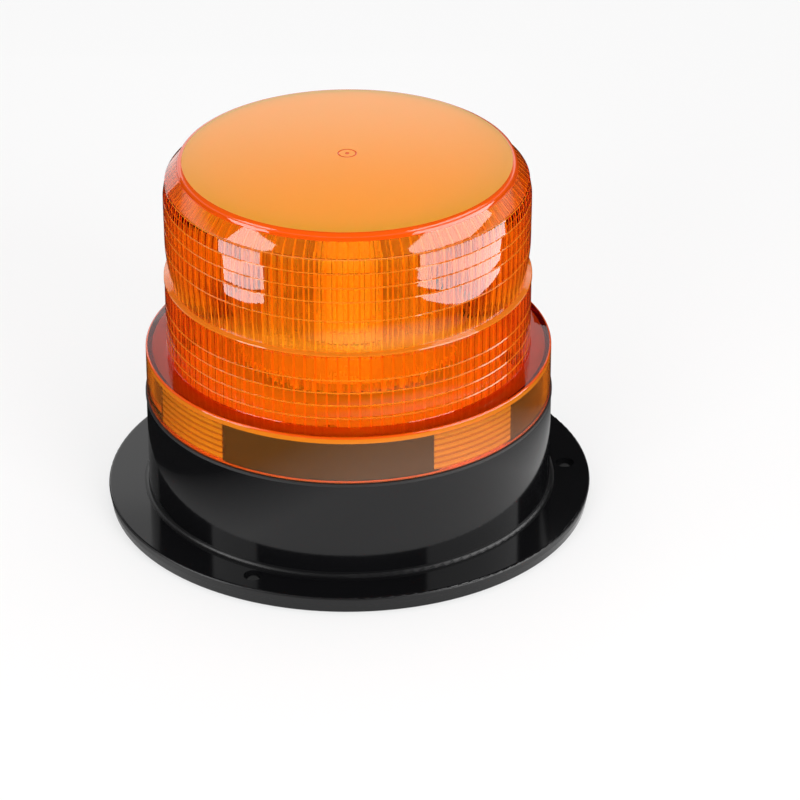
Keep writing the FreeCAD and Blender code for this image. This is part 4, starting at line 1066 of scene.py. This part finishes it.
@dataclass
class Studio:
    """A pale table and surroundings, large soft lamps, and the photo's camera.

    Attributes are sizes in metres, angles in degrees, and strengths where 1 is white. Each card
    has a name, a left end and a right end. The two backdrops multiply into what glossy surfaces
    see of the room: each has its strength at its start and at its end, and the rise of both.
    """

    table_size: float = 6.0
    table_colour: Colour = (0.82, 0.82, 0.82)
    table_roughness: float = 0.7
    table_drop: float = 0.05 * MM
    cloth_lift: float = 0.2 * MM
    paper_middle: Point = (0.020, -0.045)
    paper_radius: float = 0.070
    cloth_radius: float = 0.108
    card_colour: Colour = (0.01, 0.01, 0.01)
    cards: tuple[tuple[str, float, float], ...] = (
        ("black_strip", 0.0555, 0.0580), ("black_card", 0.0605, 0.30))
    card_back: float = 0.13
    card_top: float = 0.11
    room_strength: float = 0.8
    low_backdrop: tuple[float, ...] = (0.05, 1.0, 0.20, 0.34)
    high_backdrop: tuple[float, ...] = (1.6, 0.05, 0.24, 0.48)
    white_share: float = 0.62
    camera_back: float = 976.1 * MM
    camera_height: float = 565.6 * MM
    camera_down: float = 28.843
    camera_turn: float = 0.834
    camera_roll: float = 0.025
    camera_lens: float = 180.0
    camera_reach: float = 20.0

    def square(self, height: float) -> list[Place]:
        """Give the corners of a square as large as the table, at a height."""
        half = self.table_size / 2
        return [(-half, -half, height), (half, -half, height), (half, half, height),
                (-half, half, height)]

    def table(self) -> bpy.types.Object:
        """Lay the pale table that the beacon stands on.

        Returns:
            The table.
        """
        mesh = bpy.data.meshes.new("table")
        mesh.from_pydata(self.square(0), [], [(0, 1, 2, 3)])
        material = bpy.data.materials.new("pale_table")
        material.use_nodes = True
        graph = Graph(material.node_tree)
        paint = graph.node("ShaderNodeBsdfPrincipled", {
            "Base Color": rgba(self.table_colour), "Roughness": self.table_roughness})
        white = graph.node("ShaderNodeEmission", {"Color": WHITE, "Strength": 1.0})
        share = graph.math("MULTIPLY", self.seen(graph), self.white_share)
        mixed = graph.node("ShaderNodeMixShader", {
            0: share, 1: paint.outputs[0], 2: white.outputs[0]})
        graph.node("ShaderNodeOutputMaterial", {"Surface": mixed.outputs[0]})
        mesh.materials.append(material)
        table = bpy.data.objects.new("table", mesh)
        table.location.z = -self.table_drop
        bpy.context.scene.collection.objects.link(table)
        return table

    @staticmethod
    def seen(graph: Graph) -> Socket:
        """Tell whether a ray comes from the camera, a reflection or through glass."""
        path = graph.node("ShaderNodeLightPath").outputs
        direct = graph.math("MAXIMUM", path["Is Camera Ray"], path["Is Glossy Ray"])
        return graph.math("MAXIMUM", direct, path["Is Transmission Ray"])

    def flag(self, name: str, outline: list[Place], soft: bool = False) -> bpy.types.Object:
        """Stand or lay one black card, which only glossy surfaces see.

        Args:
            name: The card's name.
            outline: Its four corners.
            soft: Whether it fades away towards the middle of the white paper.

        Returns:
            The card.
        """
        mesh = bpy.data.meshes.new(name)
        mesh.from_pydata(outline, [], [(0, 1, 2, 3)])
        material = bpy.data.materials.new(name)
        material.use_nodes = True
        graph = Graph(material.node_tree)
        surface = graph.node("ShaderNodeBsdfDiffuse", {"Color": rgba(self.card_colour)})
        if soft:
            place = graph.node("ShaderNodeTexCoord").outputs["Object"]
            away = graph.vector("DISTANCE", place, (*self.paper_middle, 0.0)).outputs[1]
            fade = graph.spread(away, 0.0, 1.0, self.paper_radius, self.cloth_radius)
            open_middle = graph.node("ShaderNodeBsdfTransparent")
            surface = graph.node("ShaderNodeMixShader", {
                0: fade, 1: open_middle.outputs[0], 2: surface.outputs[0]})
        graph.node("ShaderNodeOutputMaterial", {"Surface": surface.outputs[0]})
        mesh.materials.append(material)
        card = bpy.data.objects.new(name, mesh)
        card.visible_camera = card.visible_diffuse = False
        card.visible_transmission = card.visible_shadow = False
        bpy.context.scene.collection.objects.link(card)
        return card

    def flags(self) -> None:
        """Lay black cloth around the white paper, and stand two black cards behind the beacon."""
        self.flag("black_cloth", self.square(self.cloth_lift), soft=True)
        back, top = self.card_back, self.card_top
        for name, left, right in self.cards:
            self.flag(name, [(left, back, 0), (right, back, 0), (right, back, top),
                             (left, back, top)])

    def room(self) -> None:
        """Fill the surroundings with soft light, white where they are seen."""
        world = bpy.data.worlds.new("studio")
        world.use_nodes = True
        bpy.context.scene.world = world
        graph = Graph(world.node_tree)
        path = graph.node("ShaderNodeLightPath").outputs
        direction = graph.node("ShaderNodeTexCoord").outputs["Generated"]
        rise = graph.node("ShaderNodeSeparateXYZ", {0: direction}).outputs[2]
        backdrop = graph.math("MULTIPLY", graph.spread(rise, *self.low_backdrop),
                              graph.spread(rise, *self.high_backdrop))
        plain = graph.spread(self.seen(graph), self.room_strength, 1.0)
        strength = graph.node("ShaderNodeMix", {
            0: path["Is Glossy Ray"], 2: plain, 3: backdrop}).outputs[0]
        light = graph.node("ShaderNodeBackground", {"Color": WHITE, "Strength": strength})
        graph.node("ShaderNodeOutputWorld", {"Surface": light.outputs[0]})

    def camera(self) -> bpy.types.Object:
        """Place the camera where the photo was taken from.

        Returns:
            The camera.
        """
        data = bpy.data.cameras.new("camera")
        data.lens = self.camera_lens
        data.clip_end = self.camera_reach
        down = math.radians(self.camera_down)
        turn = math.radians(self.camera_turn)
        forward = Vector((math.sin(turn) * math.cos(down), math.cos(turn) * math.cos(down),
                          -math.sin(down)))
        right = forward.cross(Vector((0, 0, 1))).normalized()
        up = right.cross(forward)
        roll = math.radians(self.camera_roll)
        rolled_right = right * math.cos(roll) - up * math.sin(roll)
        rolled_up = up * math.cos(roll) + right * math.sin(roll)
        camera = bpy.data.objects.new("camera", data)
        axes = Matrix((rolled_right, rolled_up, -forward)).transposed().to_4x4()
        place = Matrix.Translation((0.0, -self.camera_back, self.camera_height))
        camera.matrix_world = place @ axes
        bpy.context.scene.collection.objects.link(camera)
        bpy.context.scene.camera = camera
        return camera

    def build(self) -> None:
        """Set up the table, light, camera and plain colour view."""
        self.table()
        self.flags()
        self.room()
        for lamp in LAMPS:
            lamp.hang()
        self.camera()
        bpy.context.scene.view_settings.view_transform = "Standard"


def main() -> None:
    """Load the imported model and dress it."""
    logging.basicConfig(level=logging.INFO, format="%(name)s: %(message)s")
    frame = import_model()
    LOG.info("dressed %d packed pieces", Mechanism(frame).dress())
    lens = Lens().build()
    LOG.info("built %s with %d faces", lens.name, len(lens.data.polygons))
    Studio().build()


if __name__ == "__main__":
    main()
